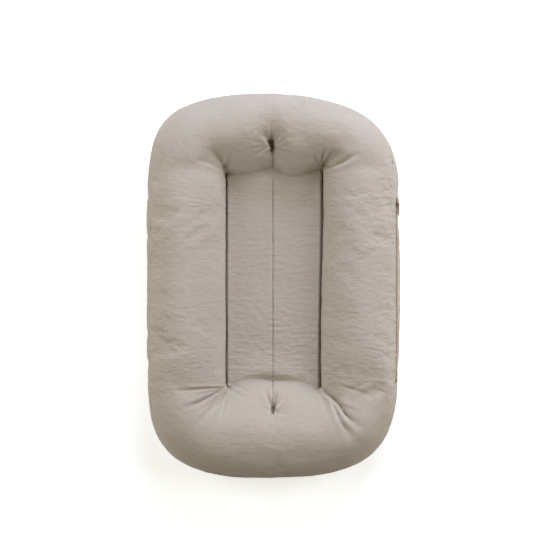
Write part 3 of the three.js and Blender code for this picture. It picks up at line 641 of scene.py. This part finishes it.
def filled(top_ring, low_ring):
    """Moves of both rings' points, mostly their fine part and none past the cap."""
    skin, at, length = closed_skin(top_ring, low_ring)
    moves = blown_up(skin) - skin
    broad = spread_out(moves, BROAD_REACH, (length / SKIN_STATIONS, SKIN_PITCH))
    moves = moves - broad * (1 - BROAD_SHARE)
    size = np.linalg.norm(moves, axis=2, keepdims=True)
    moves *= SKIN_CAP * np.tanh(size / SKIN_CAP) / np.maximum(size, 1e-9)
    back = np.interp(np.arange(STATIONS), at, np.arange(SKIN_STATIONS))
    last = SKIN_TOP_ROWS - 1
    low_grid = np.concatenate([moves[:, :1], moves[:, :last:-1], moves[:, last : last + 1]], 1)
    top_moves = sampled(moves[:, : last + 1], back, np.linspace(0, last, ROLL_ROWS))
    low_moves = sampled(low_grid, back, np.linspace(0, SKIN_LOW_ROWS - 1, BASE_ROWS))
    return top_moves, low_moves


def for_panel(moves, ring_mask, quads, share, rounds):
    """A ring's moves for every point of its panel, scaled and calmed."""
    whole = np.zeros((len(ring_mask), 3))
    whole[ring_mask] = moves[:, :-1].reshape(-1, 3)
    return relax(whole * share, quads, CALMING * ring_mask, rounds)


top_moves, low_moves = filled(ring_of(verts, ROLL_ROWS), ring_of(low, BASE_ROWS))
inward = smooth(*EDGE_RISE, edge_gap) * (1 - CROWN_SHARE * smooth(*CROWN_FALL, edge_gap))
top_share = EDGE_SHARE + (1 - EDGE_SHARE) * inward[:, None]
verts = verts + for_panel(top_moves, on_ring, faces, top_share, TOP_ROUNDS)
low = low + for_panel(low_moves, on_low_ring, low_faces, 1, LOW_ROUNDS)

# Fine shape of the upper cloth, along its normals: heights, then widths and reaches
LUMP, SMALL_LUMP, CRINKLE, FINE_CRINKLE = 0.0024, 0.0012, 0.00046, 0.00044
WRINKLE, SIDE_WRINKLE, PUCKER, GATHER = 0.0002, 0.0018, 0.0011, 0.0018
WALL_PULL, SEAM_PULL, SEAM_DIP, EDGE_DIP = 0.0006, 0.0008, 0.0024, 0.0010
SLING_LUMPS, FOOT_CRINKLES, FOOT_CRINKLE_Y, PATCHES = 0.6, 0.8, (-0.15, 0.03), (-0.05, 0.30)
WRINKLE_WIDTH, WRINKLE_POWER, WRINKLE_REACH, WRINKLE_SWAY = 0.16, 1.4, 0.055, 0.005
PUCKER_REACH, GATHER_REACH, GATHER_FROM, LUMP_FROM = 0.016, 0.032, 0.010, 0.03
WALL_PULL_REACH, SEAM_PULL_REACH, SEAM_WIDTH, EDGE_WIDTH = 0.015, 0.012, 0.0021, 0.0035
BETWEEN_STITCHES = 0.38  # how much shallower the seam's dip is between two stitches
normal = vertex_normals(verts, faces)
xy = verts[:, :2]
x, y = xy.T
to_foot = 1 + FOOT_CRINKLES * (1 - smooth(*FOOT_CRINKLE_Y, y))
lumps = LUMP * noise_at(verts, 10, 1) + SMALL_LUMP * noise_at(verts, 24, 2)
crinkle = CRINKLE * noise_at(cloth, (62, 150, 1), 3)
crinkle += FINE_CRINKLE * noise_at(cloth, (110, 300, 1), 4)
waves = noise_at(cloth + WRINKLE_SWAY * noise_at(cloth, 34, 21)[:, None], (34, 92, 1), 5)
lines = np.clip(1 - np.abs(waves) / WRINKLE_WIDTH, 0, 1) ** WRINKLE_POWER
patches = smooth(*PATCHES, noise_at(cloth, (11, 15, 1), 6))
beside = (1 - station_end) * np.exp(-edge_gap / WRINKLE_REACH)
wrinkles = lines * (WRINKLE + SIDE_WRINKLE * beside * patches * on_ring)
puckers = noise_at(cloth, (7, 115, 1), 7) * on_ring * np.exp(-edge_gap / PUCKER_REACH)
gathers = noise_at(cloth, (11, 56, 1), 10) * smooth(0, GATHER_FROM, edge_gap)
gathers *= on_ring * np.exp(-edge_gap / GATHER_REACH)
pulls = noise_at(xy, (10, 190, 1), 8) * ~on_ring * np.exp(-to_wall / WALL_PULL_REACH)
in_middle = (y < HEAD_TUCK[1]) & (y > FOOT_TUCK[1]) & (row_share > 0.5)
centre = bell(x, SEAM_WIDTH) * in_middle
dips = 1 - BETWEEN_STITCHES + BETWEEN_STITCHES * np.cos(2 * np.pi * y / STITCH_PITCH)
side_pulls = noise_at(xy, (14, 215, 1), 9) * np.exp(-np.abs(x) / SEAM_PULL_REACH)
move = (
    lumps * np.where(on_ring, smooth(0, LUMP_FROM, edge_gap), SLING_LUMPS)
    + crinkle * np.where(on_ring, 1, to_foot)
    - wrinkles
    + PUCKER * puckers
    + GATHER * gathers
    + WALL_PULL * pulls
    - SEAM_DIP * centre * dips
    + SEAM_PULL * side_pulls * in_middle
    + fold_moves(xy) * np.where(on_ring, smooth(*FOLD_ROWS, row_share), 1)
    + ray_moves(xy) * (row_share > RAYS_FROM)
    - EDGE_DIP * bell(edge_gap, EDGE_WIDTH) * (1 - of_stations(opened, ROLL_ROWS))
)
verts = verts + normal * move[:, None]
verts[:, 2] -= ~on_ring * seam_pinch(verts[:, 0], to_wall, TOP_PINCH_WIDTH)
foot_line = curve_through(FOOT_LINE, verts[:, 0])
foot_dip = bell(verts[:, 1] - foot_line - FOOT_DIP_OFF, FOOT_DIP_WIDTH)
foot_dip *= bell(verts[:, 0], FOOT_DIP_ACROSS)
verts[:, 2] -= FOOT_DIP * foot_dip * ~on_ring
upper = cloth_object("cover_cloth_top", verts, faces, cloth)

# Fine shape of the lower cloth
LOW_LUMP, LOW_CRINKLE, LOW_PUCKER, LOW_EDGE_DIP = 0.0020, 0.0005, 0.0014, 0.0016
UNDER_LUMPS, OFF_FLOOR, LOW_FREE_FROM = 0.3, (0.0004, 0.010), 0.02
free = smooth(*OFF_FLOOR, low[:, 2]) * np.where(on_low_ring, smooth(0, LOW_FREE_FROM, low_gap), 1)
move = LOW_LUMP * noise_at(low, 11, 13) * np.where(on_low_ring, 1, UNDER_LUMPS)
move += LOW_CRINKLE * noise_at(low_cloth, (26, 140, 1), 14)
move += LOW_PUCKER * noise_at(low_cloth, (7, 115, 1), 7) * np.exp(-low_gap / PUCKER_REACH)
move *= free
move -= LOW_EDGE_DIP * bell(low_gap, EDGE_WIDTH) * (1 - of_stations(low_opened, BASE_ROWS))
low = low + vertex_normals(low, low_faces) * move[:, None]
low[:, 2] = np.maximum(low[:, 2], 0)
lower = cloth_object("cover_cloth_base", low, low_faces, low_cloth)


# Inner pillow, which follows the finished cover from inside and shows behind the zip.
# Its size is a share of the cover's section, smaller by the tucks and larger behind the zip
PILLOW_STEP, PILLOW_TOP_STEP, PILLOW_LOW_STEP = 4, 3, 2
PILLOW_SHARE, ZIP_SHARE, TUCK_SHARE, CREASE_CUT = 0.835, 0.905, 0.60, 0.09
ZIP_FOOT_FADE, ZIP_HEAD_FADE = (-0.21, -0.19), (0.175, 0.195)
TUCK_SPREAD, TUCKS_FROM_Y = 0.040, 0.15
CREASE, CREASE_SPREAD = (0.118, -0.226), (0.045, 0.045)
CASE_LENGTH, CASE_GIRTH = 2.0, 0.4


def inner_pillow(top_ring, low_ring):
    top_part = top_ring[::PILLOW_STEP, ::PILLOW_TOP_STEP]
    low_part = low_ring[::PILLOW_STEP, 1:-1:PILLOW_LOW_STEP][:, ::-1]
    section = np.concatenate([top_part, low_part], 1)
    core = section.mean(1, keepdims=True)
    x, y = core[..., 0], core[..., 1]
    by_zip = (x > 0) * smooth(*ZIP_FOOT_FADE, y) * (1 - smooth(*ZIP_HEAD_FADE, y))
    by_tuck = bell(x, TUCK_SPREAD) * (np.abs(y) > TUCKS_FROM_Y)
    share = PILLOW_SHARE + (ZIP_SHARE - PILLOW_SHARE) * by_zip - (PILLOW_SHARE - TUCK_SHARE) * by_tuck
    by_crease = mound(section, CREASE, CREASE_SPREAD)
    inner = core + (section - core) * (share - CREASE_CUT * by_crease)[..., None]
    stations, rows = inner.shape[:2]
    run = np.repeat(np.linspace(0, CASE_LENGTH, stations), rows)
    girth = np.tile(np.linspace(0, CASE_GIRTH, rows), stations)
    laid = np.stack([run, girth], 1)
    return cloth_object("inner_pillow", inner.reshape(-1, 3), tube_quads(stations, rows), laid)


pillow = inner_pillow(ring_of(verts, ROLL_ROWS), ring_of(low, BASE_ROWS))

# Stitches that lie on the finished cloth
CENTRE_THREAD, WELL_THREAD, TUCK_THREAD = 0.00075, 0.0005, 0.0006
CENTRE_FOOT_GAP, CENTRE_HEAD_GAP = 0.006, 0.012  # from the tucks to the centre line
WELL_STITCHES_Y, WELL_STITCHES_IN = (-0.192, 0.205), 0.0046
CENTRE_SAMPLES, WELL_SAMPLES, ABOVE_Z = 300, 240, 0.3
TUCK_STITCHES, TUCK_HALF, TUCK_LEAN = 6, 0.0034, 0.0006
HEAD_STITCHES, FOOT_STITCHES = 0.018, 0.010
SIDES, STEPS = 8, 7
ARCH_RISE, ARCH_SINK, THREAD_END = 1.1, 0.75, 0.45  # shares of the thread's radius
tree = BVHTree.FromPolygons([Vector(v) for v in verts], faces.tolist())


def top_at(x, y):
    """The point of the upper cloth that is seen from above."""
    return tree.ray_cast(Vector((x, y, ABOVE_Z)), Vector((0, 0, -1)))[0]


def thread_mesh(name, stitches, radius):
    """Each stitch comes out of the cloth, runs over it and goes back into it."""
    made, quads = [], []
    for a, b in stitches:
        way = (b - a).normalized()
        aside = way.cross(Vector((0, 0, 1))).normalized()
        up = aside.cross(way)
        start = len(made)
        for k in range(STEPS):
            t = k / (STEPS - 1)
            arch = math.sin(math.pi * t)
            middle = a.lerp(b, t) + up * (radius * (ARCH_RISE * arch - ARCH_SINK))
            size = radius * (THREAD_END + (1 - THREAD_END) * arch**0.5)
            for j in range(SIDES):
                phi = 2 * math.pi * j / SIDES
                made.append(middle + (aside * math.cos(phi) + up * math.sin(phi)) * size)
        for k in range(STEPS - 1):
            for j in range(SIDES):
                n, row = (j + 1) % SIDES, start + k * SIDES
                quads.append((row + j, row + n, row + SIDES + n, row + SIDES + j))
    mesh = bpy.data.meshes.new(name)
    mesh.from_pydata([tuple(v) for v in made], [], quads)
    mesh.update()
    mesh.shade_smooth()
    return link(name, mesh)


def run_stitches(points):
    """Even stitches along a line of points."""
    line = np.array([tuple(p) for p in points])
    steps = np.concatenate([[0], np.cumsum(np.linalg.norm(np.diff(line, axis=0), axis=1))])

    def at(s):
        return Vector([np.interp(s, steps, line[:, k]) for k in range(3)])

    starts = np.arange(STITCH_PITCH / 2, steps[-1] - STITCH_LENGTH, STITCH_PITCH)
    return [(at(s), at(s + STITCH_LENGTH)) for s in starts]


def well_line(side):
    ys = np.linspace(*WELL_STITCHES_Y, WELL_SAMPLES)
    xs = side * (half_width(np.full(len(ys), side > 0), ys) - WELL_STITCHES_IN)
    return [top_at(x, y) for x, y in zip(xs, ys)]


def tuck_stitches(name, centre, length):
    pairs = []
    for k, y in enumerate(np.linspace(-length / 2, length / 2, TUCK_STITCHES)):
        lean = TUCK_LEAN * (-1) ** k
        left = top_at(centre[0] - TUCK_HALF, centre[1] + y + lean)
        right = top_at(centre[0] + TUCK_HALF, centre[1] + y - lean)
        pairs.append((left, right))
    return thread_mesh(name, pairs, TUCK_THREAD)


centre_ends = FOOT_TUCK[1] + CENTRE_FOOT_GAP, HEAD_TUCK[1] - CENTRE_HEAD_GAP
centre_line = [top_at(0.0, y) for y in np.linspace(*centre_ends, CENTRE_SAMPLES)]
centre_thread = thread_mesh("centre_stitches", run_stitches(centre_line), CENTRE_THREAD)
well_right = thread_mesh("well_stitches_right", run_stitches(well_line(1)), WELL_THREAD)
well_left = thread_mesh("well_stitches_left", run_stitches(well_line(-1)), WELL_THREAD)
head_stitches = tuck_stitches("head_tuck_stitches", HEAD_TUCK, HEAD_STITCHES)
foot_stitches = tuck_stitches("foot_tuck_stitches", FOOT_TUCK, FOOT_STITCHES)


# Materials
def material(name):
    made = bpy.data.materials.new(name)
    made.use_nodes = True
    return made, made.node_tree, made.node_tree.nodes["Principled BSDF"]


def put(tree, value, socket):
    """Gives an input a value, or links another node's output to it."""
    if isinstance(value, bpy.types.NodeSocket):
        tree.links.new(value, socket)
    else:
        socket.default_value = value


def feed(tree, node, **inputs):
    """Fills a node's inputs, named with _ for a space."""
    for name, value in inputs.items():
        put(tree, value, node.inputs[name.replace("_", " ")])
    return node


def add(tree, kind, **inputs):
    """A new shader node with its inputs filled."""
    return feed(tree, tree.nodes.new("ShaderNode" + kind), **inputs)


def stretched(tree, uv, scale, detail, rough, distortion=0.0):
    """Noise in the flat cloth, with a scale of its own along and across."""
    place = add(tree, "Mapping", Vector=uv, Scale=(*scale, 1)).outputs["Vector"]
    grain = add(tree, "TexNoise", Vector=place, Scale=1, Detail=detail)
    return feed(tree, grain, Roughness=rough, Distortion=distortion).outputs["Fac"]


def ribs(tree, uv, axis):
    """The weave's threads that run one way."""
    wave = add(tree, "TexWave", Vector=uv, Scale=420, Distortion=1.2, Detail=2)
    wave.bands_direction = axis
    return wave.outputs["Fac"]


def weighted(tree, *terms):
    """Sum of values, each times its weight."""
    result = 0.0
    for value, weight in terms:
        part = add(tree, "Math")
        part.operation = "MULTIPLY_ADD"
        for given, socket in zip((value, weight, result), part.inputs):
            put(tree, given, socket)
        result = part.outputs[0]
    return result


def color_between(tree, value, dark, light, low=0.0, high=1.0):
    """A colour that goes from dark to light as a value goes from low to high."""
    ramp = add(tree, "ValToRGB", Fac=value)
    for element, place, color in zip(ramp.color_ramp.elements, (low, high), (dark, light)):
        element.position = place
        element.color = (*color, 1)
    return ramp.outputs["Color"]


def ranged(tree, value, **bounds):
    """A value laid onto another range."""
    return add(tree, "MapRange", Value=value, **bounds).outputs["Result"]


def bump(tree, height, depth):
    return add(tree, "Bump", Strength=1, Distance=depth, Height=height).outputs["Normal"]


def painted_crease_shade(tree, color):
    """A colour with painted highlights, lighter, on ridges and painted shade, browner, in creases,
    following the mesh's pointiness.
    """
    tint = add(tree, "MapRange")
    tint.data_type = "FLOAT_VECTOR"
    bounds = {socket.name: socket for socket in tint.inputs if socket.type == "VECTOR"}
    bounds["From Min"].default_value = [0.44] * 3
    bounds["From Max"].default_value = [0.56] * 3
    bounds["To Min"].default_value = (0.86, 0.82, 0.72)
    bounds["To Max"].default_value = (1.10, 1.11, 1.13)
    put(tree, add(tree, "NewGeometry").outputs["Pointiness"], bounds["Vector"])
    # The colour times the tint: painted shade in creases, painted highlight on ridges
    shade_painted = add(tree, "VectorMath")
    shade_painted.operation = "MULTIPLY"
    put(tree, color, shade_painted.inputs[0])
    put(tree, tint.outputs["Vector"], shade_painted.inputs[1])
    return shade_painted.outputs["Vector"]


def muslin(name, light, dark):
    made, tree, shader = material(name)
    uv_map = add(tree, "UVMap")
    uv_map.uv_map = "cloth"
    uv = uv_map.outputs["UV"]
    slubs = stretched(tree, uv, (60, 560), 3, 0.6)
    fine = stretched(tree, uv, (300, 1500), 2, 0.5)
    folds = stretched(tree, uv, (85, 250), 4, 0.62, 0.3)
    patches = stretched(tree, uv, (9, 12), 3, 0.5)
    shade = weighted(tree, (slubs, 0.34), (fine, 0.30), (folds, 0.10), (patches, 0.26))
    warp, weft = ribs(tree, uv, "X"), ribs(tree, uv, "Y")
    height = weighted(tree, (folds, 0.7), (slubs, 0.42), (fine, 0.2), (warp, 0.04), (weft, 0.04))
    # Painted shade, browner, in the creases and painted highlights on the ridges, from the mesh's
    # pointiness
    color = painted_crease_shade(tree, color_between(tree, shade, dark, light, 0.32, 0.68))
    rough = ranged(tree, shade, To_Min=0.98, To_Max=0.84)
    feed(tree, shader, Base_Color=color, Roughness=rough, Normal=bump(tree, height, 0.0011))
    feed(tree, shader, Specular_IOR_Level=0.15, Sheen_Weight=0.2, Sheen_Roughness=0.6)
    return made


def plain(name, color, rough, metal=0.0, scale=900.0):
    made, tree, shader = material(name)
    place = add(tree, "TexCoord").outputs["Object"]
    grain = add(tree, "TexNoise", Vector=place, Scale=scale, Detail=4).outputs["Fac"]
    dark, light = [c * 0.82 for c in color], [min(c * 1.15, 1) for c in color]
    spread = ranged(tree, grain, To_Min=min(rough * 1.2, 1), To_Max=rough * 0.8)
    feed(tree, shader, Base_Color=color_between(tree, grain, dark, light), Metallic=metal)
    feed(tree, shader, Roughness=spread, Normal=bump(tree, grain, 0.0002))
    return made


def dress(piece, look, slot, body, *nodes):
    """Gives a piece its look and its body, and hides the CAD nodes that it stands for. The slot is
    not used.
    """
    piece.data.materials.append(look)
    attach(piece, body)
    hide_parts(*nodes)


# Cloth pieces
cover_cloth = muslin("muslin", (0.596, 0.550, 0.512), (0.531, 0.479, 0.431))
base_cloth = muslin("muslin_base", (0.586, 0.540, 0.502), (0.521, 0.469, 0.421))
case_cloth = muslin("pillow_case", (0.70, 0.66, 0.60), (0.64, 0.60, 0.54))
dress(upper, cover_cloth, "muslin", "lounger", "cover_top")
dress(lower, base_cloth, "undercloth", "lounger", "cover_base", "insert_sling")
insides = ("insert_case_top", "insert_case_base", "fibrefill")
dress(pillow, case_cloth, "casecloth", "lounger", *insides)

# The CAD's own stops and pull
bronze = plain("bronze", (0.30, 0.20, 0.11), 0.42, 0.6, 300)
for name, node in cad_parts.items():
    if "stop" in name or "pull" in name:
        node.data.materials.clear()
        node.data.materials.append(bronze)


# Zip: two rows of teeth, and a slider whose post passes between their tips
tape = plain("zip_tape", (0.66, 0.53, 0.40), 0.9)
resin = plain("resin", (0.58, 0.44, 0.31), 0.5)


def in_zip_frame():
    """Across the zip and downwards, along it towards the head, and out of it."""
    x, z = ZIP_MIDDLE
    out, up = math.cos(ZIP_TILT), math.sin(ZIP_TILT)
    return Matrix(((up, 0, out, x), (0, 1, 0, 0), (-out, 0, up, z), (0, 0, 0, 1)))


def zip_piece(name, built, look, slot, body, node):
    """Makes a bmesh in the zip's frame into a piece that stands for a CAD node."""
    bmesh.ops.recalc_face_normals(built, faces=built.faces)
    data = bpy.data.meshes.new(name)
    built.to_mesh(data)
    built.free()
    data.transform(in_zip_frame())
    dress(link(name, data), look, slot, body, node)


def rounded(built, edges, offset):
    shape = {"segments": ROUND_STEPS, "profile": 0.5, "clamp_overlap": True}
    bmesh.ops.bevel(built, geom=edges, offset=offset, affect="EDGES", **shape)


def zip_row(name, side, foot_y, node):
    """A row of teeth with wider heads, joined by a rail at their backs."""
    built = bmesh.new()

    def block(near, far, y, length, floor, top):
        middle = Matrix.Translation((side * (near + far) / 2, y + length / 2, (floor + top) / 2))
        size = Matrix.Diagonal((far - near, length, top - floor, 1))
        bmesh.ops.create_cube(built, size=1, matrix=middle @ size)

    run = ROW_HEAD_Y - foot_y
    for k in range(int((run - TOOTH_LENGTH) / TOOTH_PITCH) + 1):
        y = foot_y + k * TOOTH_PITCH
        floor, top = TOOTH_FLOOR + TOOTH_LIP, TOOTH_TOP - TOOTH_LIP
        block(TOOTH_TIP, TOOTH_BACK, y, TOOTH_LENGTH, floor, top)
        length = TOOTH_LENGTH + 2 * TOOTH_LIP
        block(TOOTH_TIP, TOOTH_TIP + TOOTH_HEAD, y - TOOTH_LIP, length, TOOTH_FLOOR, TOOTH_TOP)
    floor, top = TOOTH_FLOOR + RAIL_RISE, TOOTH_TOP - RAIL_DROP
    block(TOOTH_BACK - RAIL_WIDTH, TOOTH_BACK, foot_y, run, floor, top)
    rounded(built, built.edges[:], TOOTH_ROUND)
    zip_piece(name, built, resin, "resin", "lounger", node)


def zip_tape(name, side, node):
    """A tape that runs back under the slit's lip and dips at both ends."""
    ys = np.linspace(TAPE_FOOT_Y, TAPE_HEAD_Y, TAPE_STEPS)
    from_end = np.minimum(ys - ys[0], ys[-1] - ys)
    dip = TAPE_DIP * (1 - smooth(0, TAPE_DIP_LENGTH, from_end))
    width = TAPE_END_SHARE + (1 - TAPE_END_SHARE) * smooth(*TAPE_WIDENS, from_end)
    front = np.array(TAPE_SECTION) * MM
    section = np.concatenate([front, front[::-1] - (0, TAPE_THICKNESS)])
    points = np.empty((len(ys), len(section), 3))
    points[..., 0] = side * (section[0, 0] + (section[:, 0] - section[0, 0]) * width[:, None])
    points[..., 1] = ys[:, None]
    points[..., 2] = section[:, 1] - dip[:, None]
    built = bmesh.new()
    made = [[built.verts.new(point) for point in row] for row in points]
    for row, after in zip(made, made[1:]):
        for k in range(len(section)):
            built.faces.new((row[k], row[k - 1], after[k - 1], after[k]))
    built.faces.new(made[0])
    built.faces.new(made[-1])
    zip_piece(name, built, tape, "tape", "lounger", node)


def zip_slider():
    """The CAD slider with a slim post and rounded edges."""
    built = bmesh.new()
    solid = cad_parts["zip_slider"]
    built.from_mesh(solid.data)
    built.transform(in_zip_frame().inverted() @ solid.matrix_world)
    bmesh.ops.remove_doubles(built, verts=built.verts, dist=1e-6)
    for vert in built.verts:
        if abs(abs(vert.co.x) - POST_HALF) < POST_MARGIN:
            vert.co.x = math.copysign(SLIM_POST_HALF, vert.co.x)
    verts, edges = built.verts, built.edges
    bmesh.ops.dissolve_limit(built, angle_limit=FLAT_ANGLE, verts=verts, edges=edges)
    rounded(built, [edge for edge in edges if edge.calc_face_angle(0) > SHARP_ANGLE], SLIDER_ROUND)
    zip_piece("zip_slider_body", built, bronze, "bronze", "slider", "zip_slider")


zip_row("zip_row_upper", -1, ROW_FOOT_Y, "zip_teeth_upper")
zip_row("zip_row_lower", 1, ROW_FOOT_Y + TOOTH_PITCH / 2, "zip_teeth_lower")
zip_tape("zip_strip_upper", -1, "zip_tape_upper")
zip_tape("zip_strip_lower", 1, "zip_tape_lower")
zip_slider()

# Stitches
thread = plain("thread", (0.075, 0.062, 0.052), 0.85)
for piece, node in (
    (centre_thread, "centre_seam_thread"),
    (well_right, "well_seam_thread_right"),
    (well_left, "well_seam_thread_left"),
    (head_stitches, "head_tuck_thread"),
    (foot_stitches, "foot_tuck_thread"),
):
    dress(piece, thread, "thread", "lounger", node)


# Floor, light and camera
EYE, HALF_VIEW = (0.0038, 0.0212, 2.6), 0.5291
FLOOR_SIZE, FLOOR_Z = 12, -0.0005
GLOW_NEAR, GLOW_FAR, LAMP_DISTANCE = 0.8, 1.4, 2.6


def for_camera(tree, others, seen, out):
    """One shader for the camera's own rays and another for all others."""
    path = add(tree, "LightPath")
    pick = add(tree, "MixShader", Fac=path.outputs["Is Camera Ray"])
    put(tree, others.outputs[0], pick.inputs[1])
    put(tree, seen.outputs[0], pick.inputs[2])
    put(tree, pick.outputs["Shader"], tree.nodes[out].inputs["Surface"])


def floor_material():
    """A pale floor. The camera sees its shadows on a ground that goes to white far away."""
    made, tree, shader = material("floor")
    feed(tree, shader, Base_Color=(0.90, 0.87, 0.82, 1), Roughness=0.9)
    away = add(tree, "VectorMath")
    away.operation = "LENGTH"
    put(tree, add(tree, "TexCoord").outputs["Object"], away.inputs[0])
    glow = ranged(tree, away.outputs["Value"], From_Min=GLOW_NEAR, From_Max=GLOW_FAR, To_Min=0.53)
    shade = add(tree, "BsdfDiffuse", Color=(0.95, 0.98, 1.0, 1))
    white = add(tree, "Emission", Color=(1, 1, 1, 1), Strength=glow)
    shown = add(tree, "AddShader")
    put(tree, shade.outputs["BSDF"], shown.inputs[0])
    put(tree, white.outputs["Emission"], shown.inputs[1])
    for_camera(tree, shader, shown, "Material Output")
    return made


def white_room():
    """A white ground for the camera, and a weak warm fill for the rest."""
    world = bpy.data.worlds.new("room")
    world.use_nodes = True
    tree = world.node_tree
    fill = feed(tree, tree.nodes["Background"], Color=(1.0, 0.86, 0.48, 1), Strength=0.14)
    bright = add(tree, "Background", Color=(1, 1, 1, 1), Strength=1)
    for_camera(tree, fill, bright, "World Output")
    return world


def area(name, toward, size, power, color):
    light = bpy.data.lights.new(name, "AREA")
    light.size = size
    light.energy = power * LAMP_DISTANCE**2
    light.color = color
    lamp = link(name, light)
    way = Vector(toward).normalized()
    lamp.location = way * LAMP_DISTANCE
    lamp.rotation_euler = way.to_track_quat("Z", "Y").to_euler()


bpy.ops.mesh.primitive_plane_add(size=FLOOR_SIZE, location=(0, 0, FLOOR_Z))
floor = bpy.context.object
floor.name = "floor"
floor.data.materials.append(floor_material())

area("key", (0.20, 0.82, 0.53), 1.3, 5.4, (0.92, 0.98, 1.18))
area("left", (-0.80, 0.12, 0.58), 1.6, 4.0, (0.99, 0.98, 0.96))
area("right", (0.80, 0.12, 0.58), 1.6, 4.4, (0.98, 0.97, 0.96))
scene.world = white_room()

cam = bpy.data.cameras.new("camera")
camera = link("camera", cam)
camera.location = EYE
cam.sensor_fit = "HORIZONTAL"
cam.angle = 2 * math.atan(HALF_VIEW / (EYE[2] - WIDEST_Z))
scene.camera = camera
scene.view_settings.view_transform = "Standard"
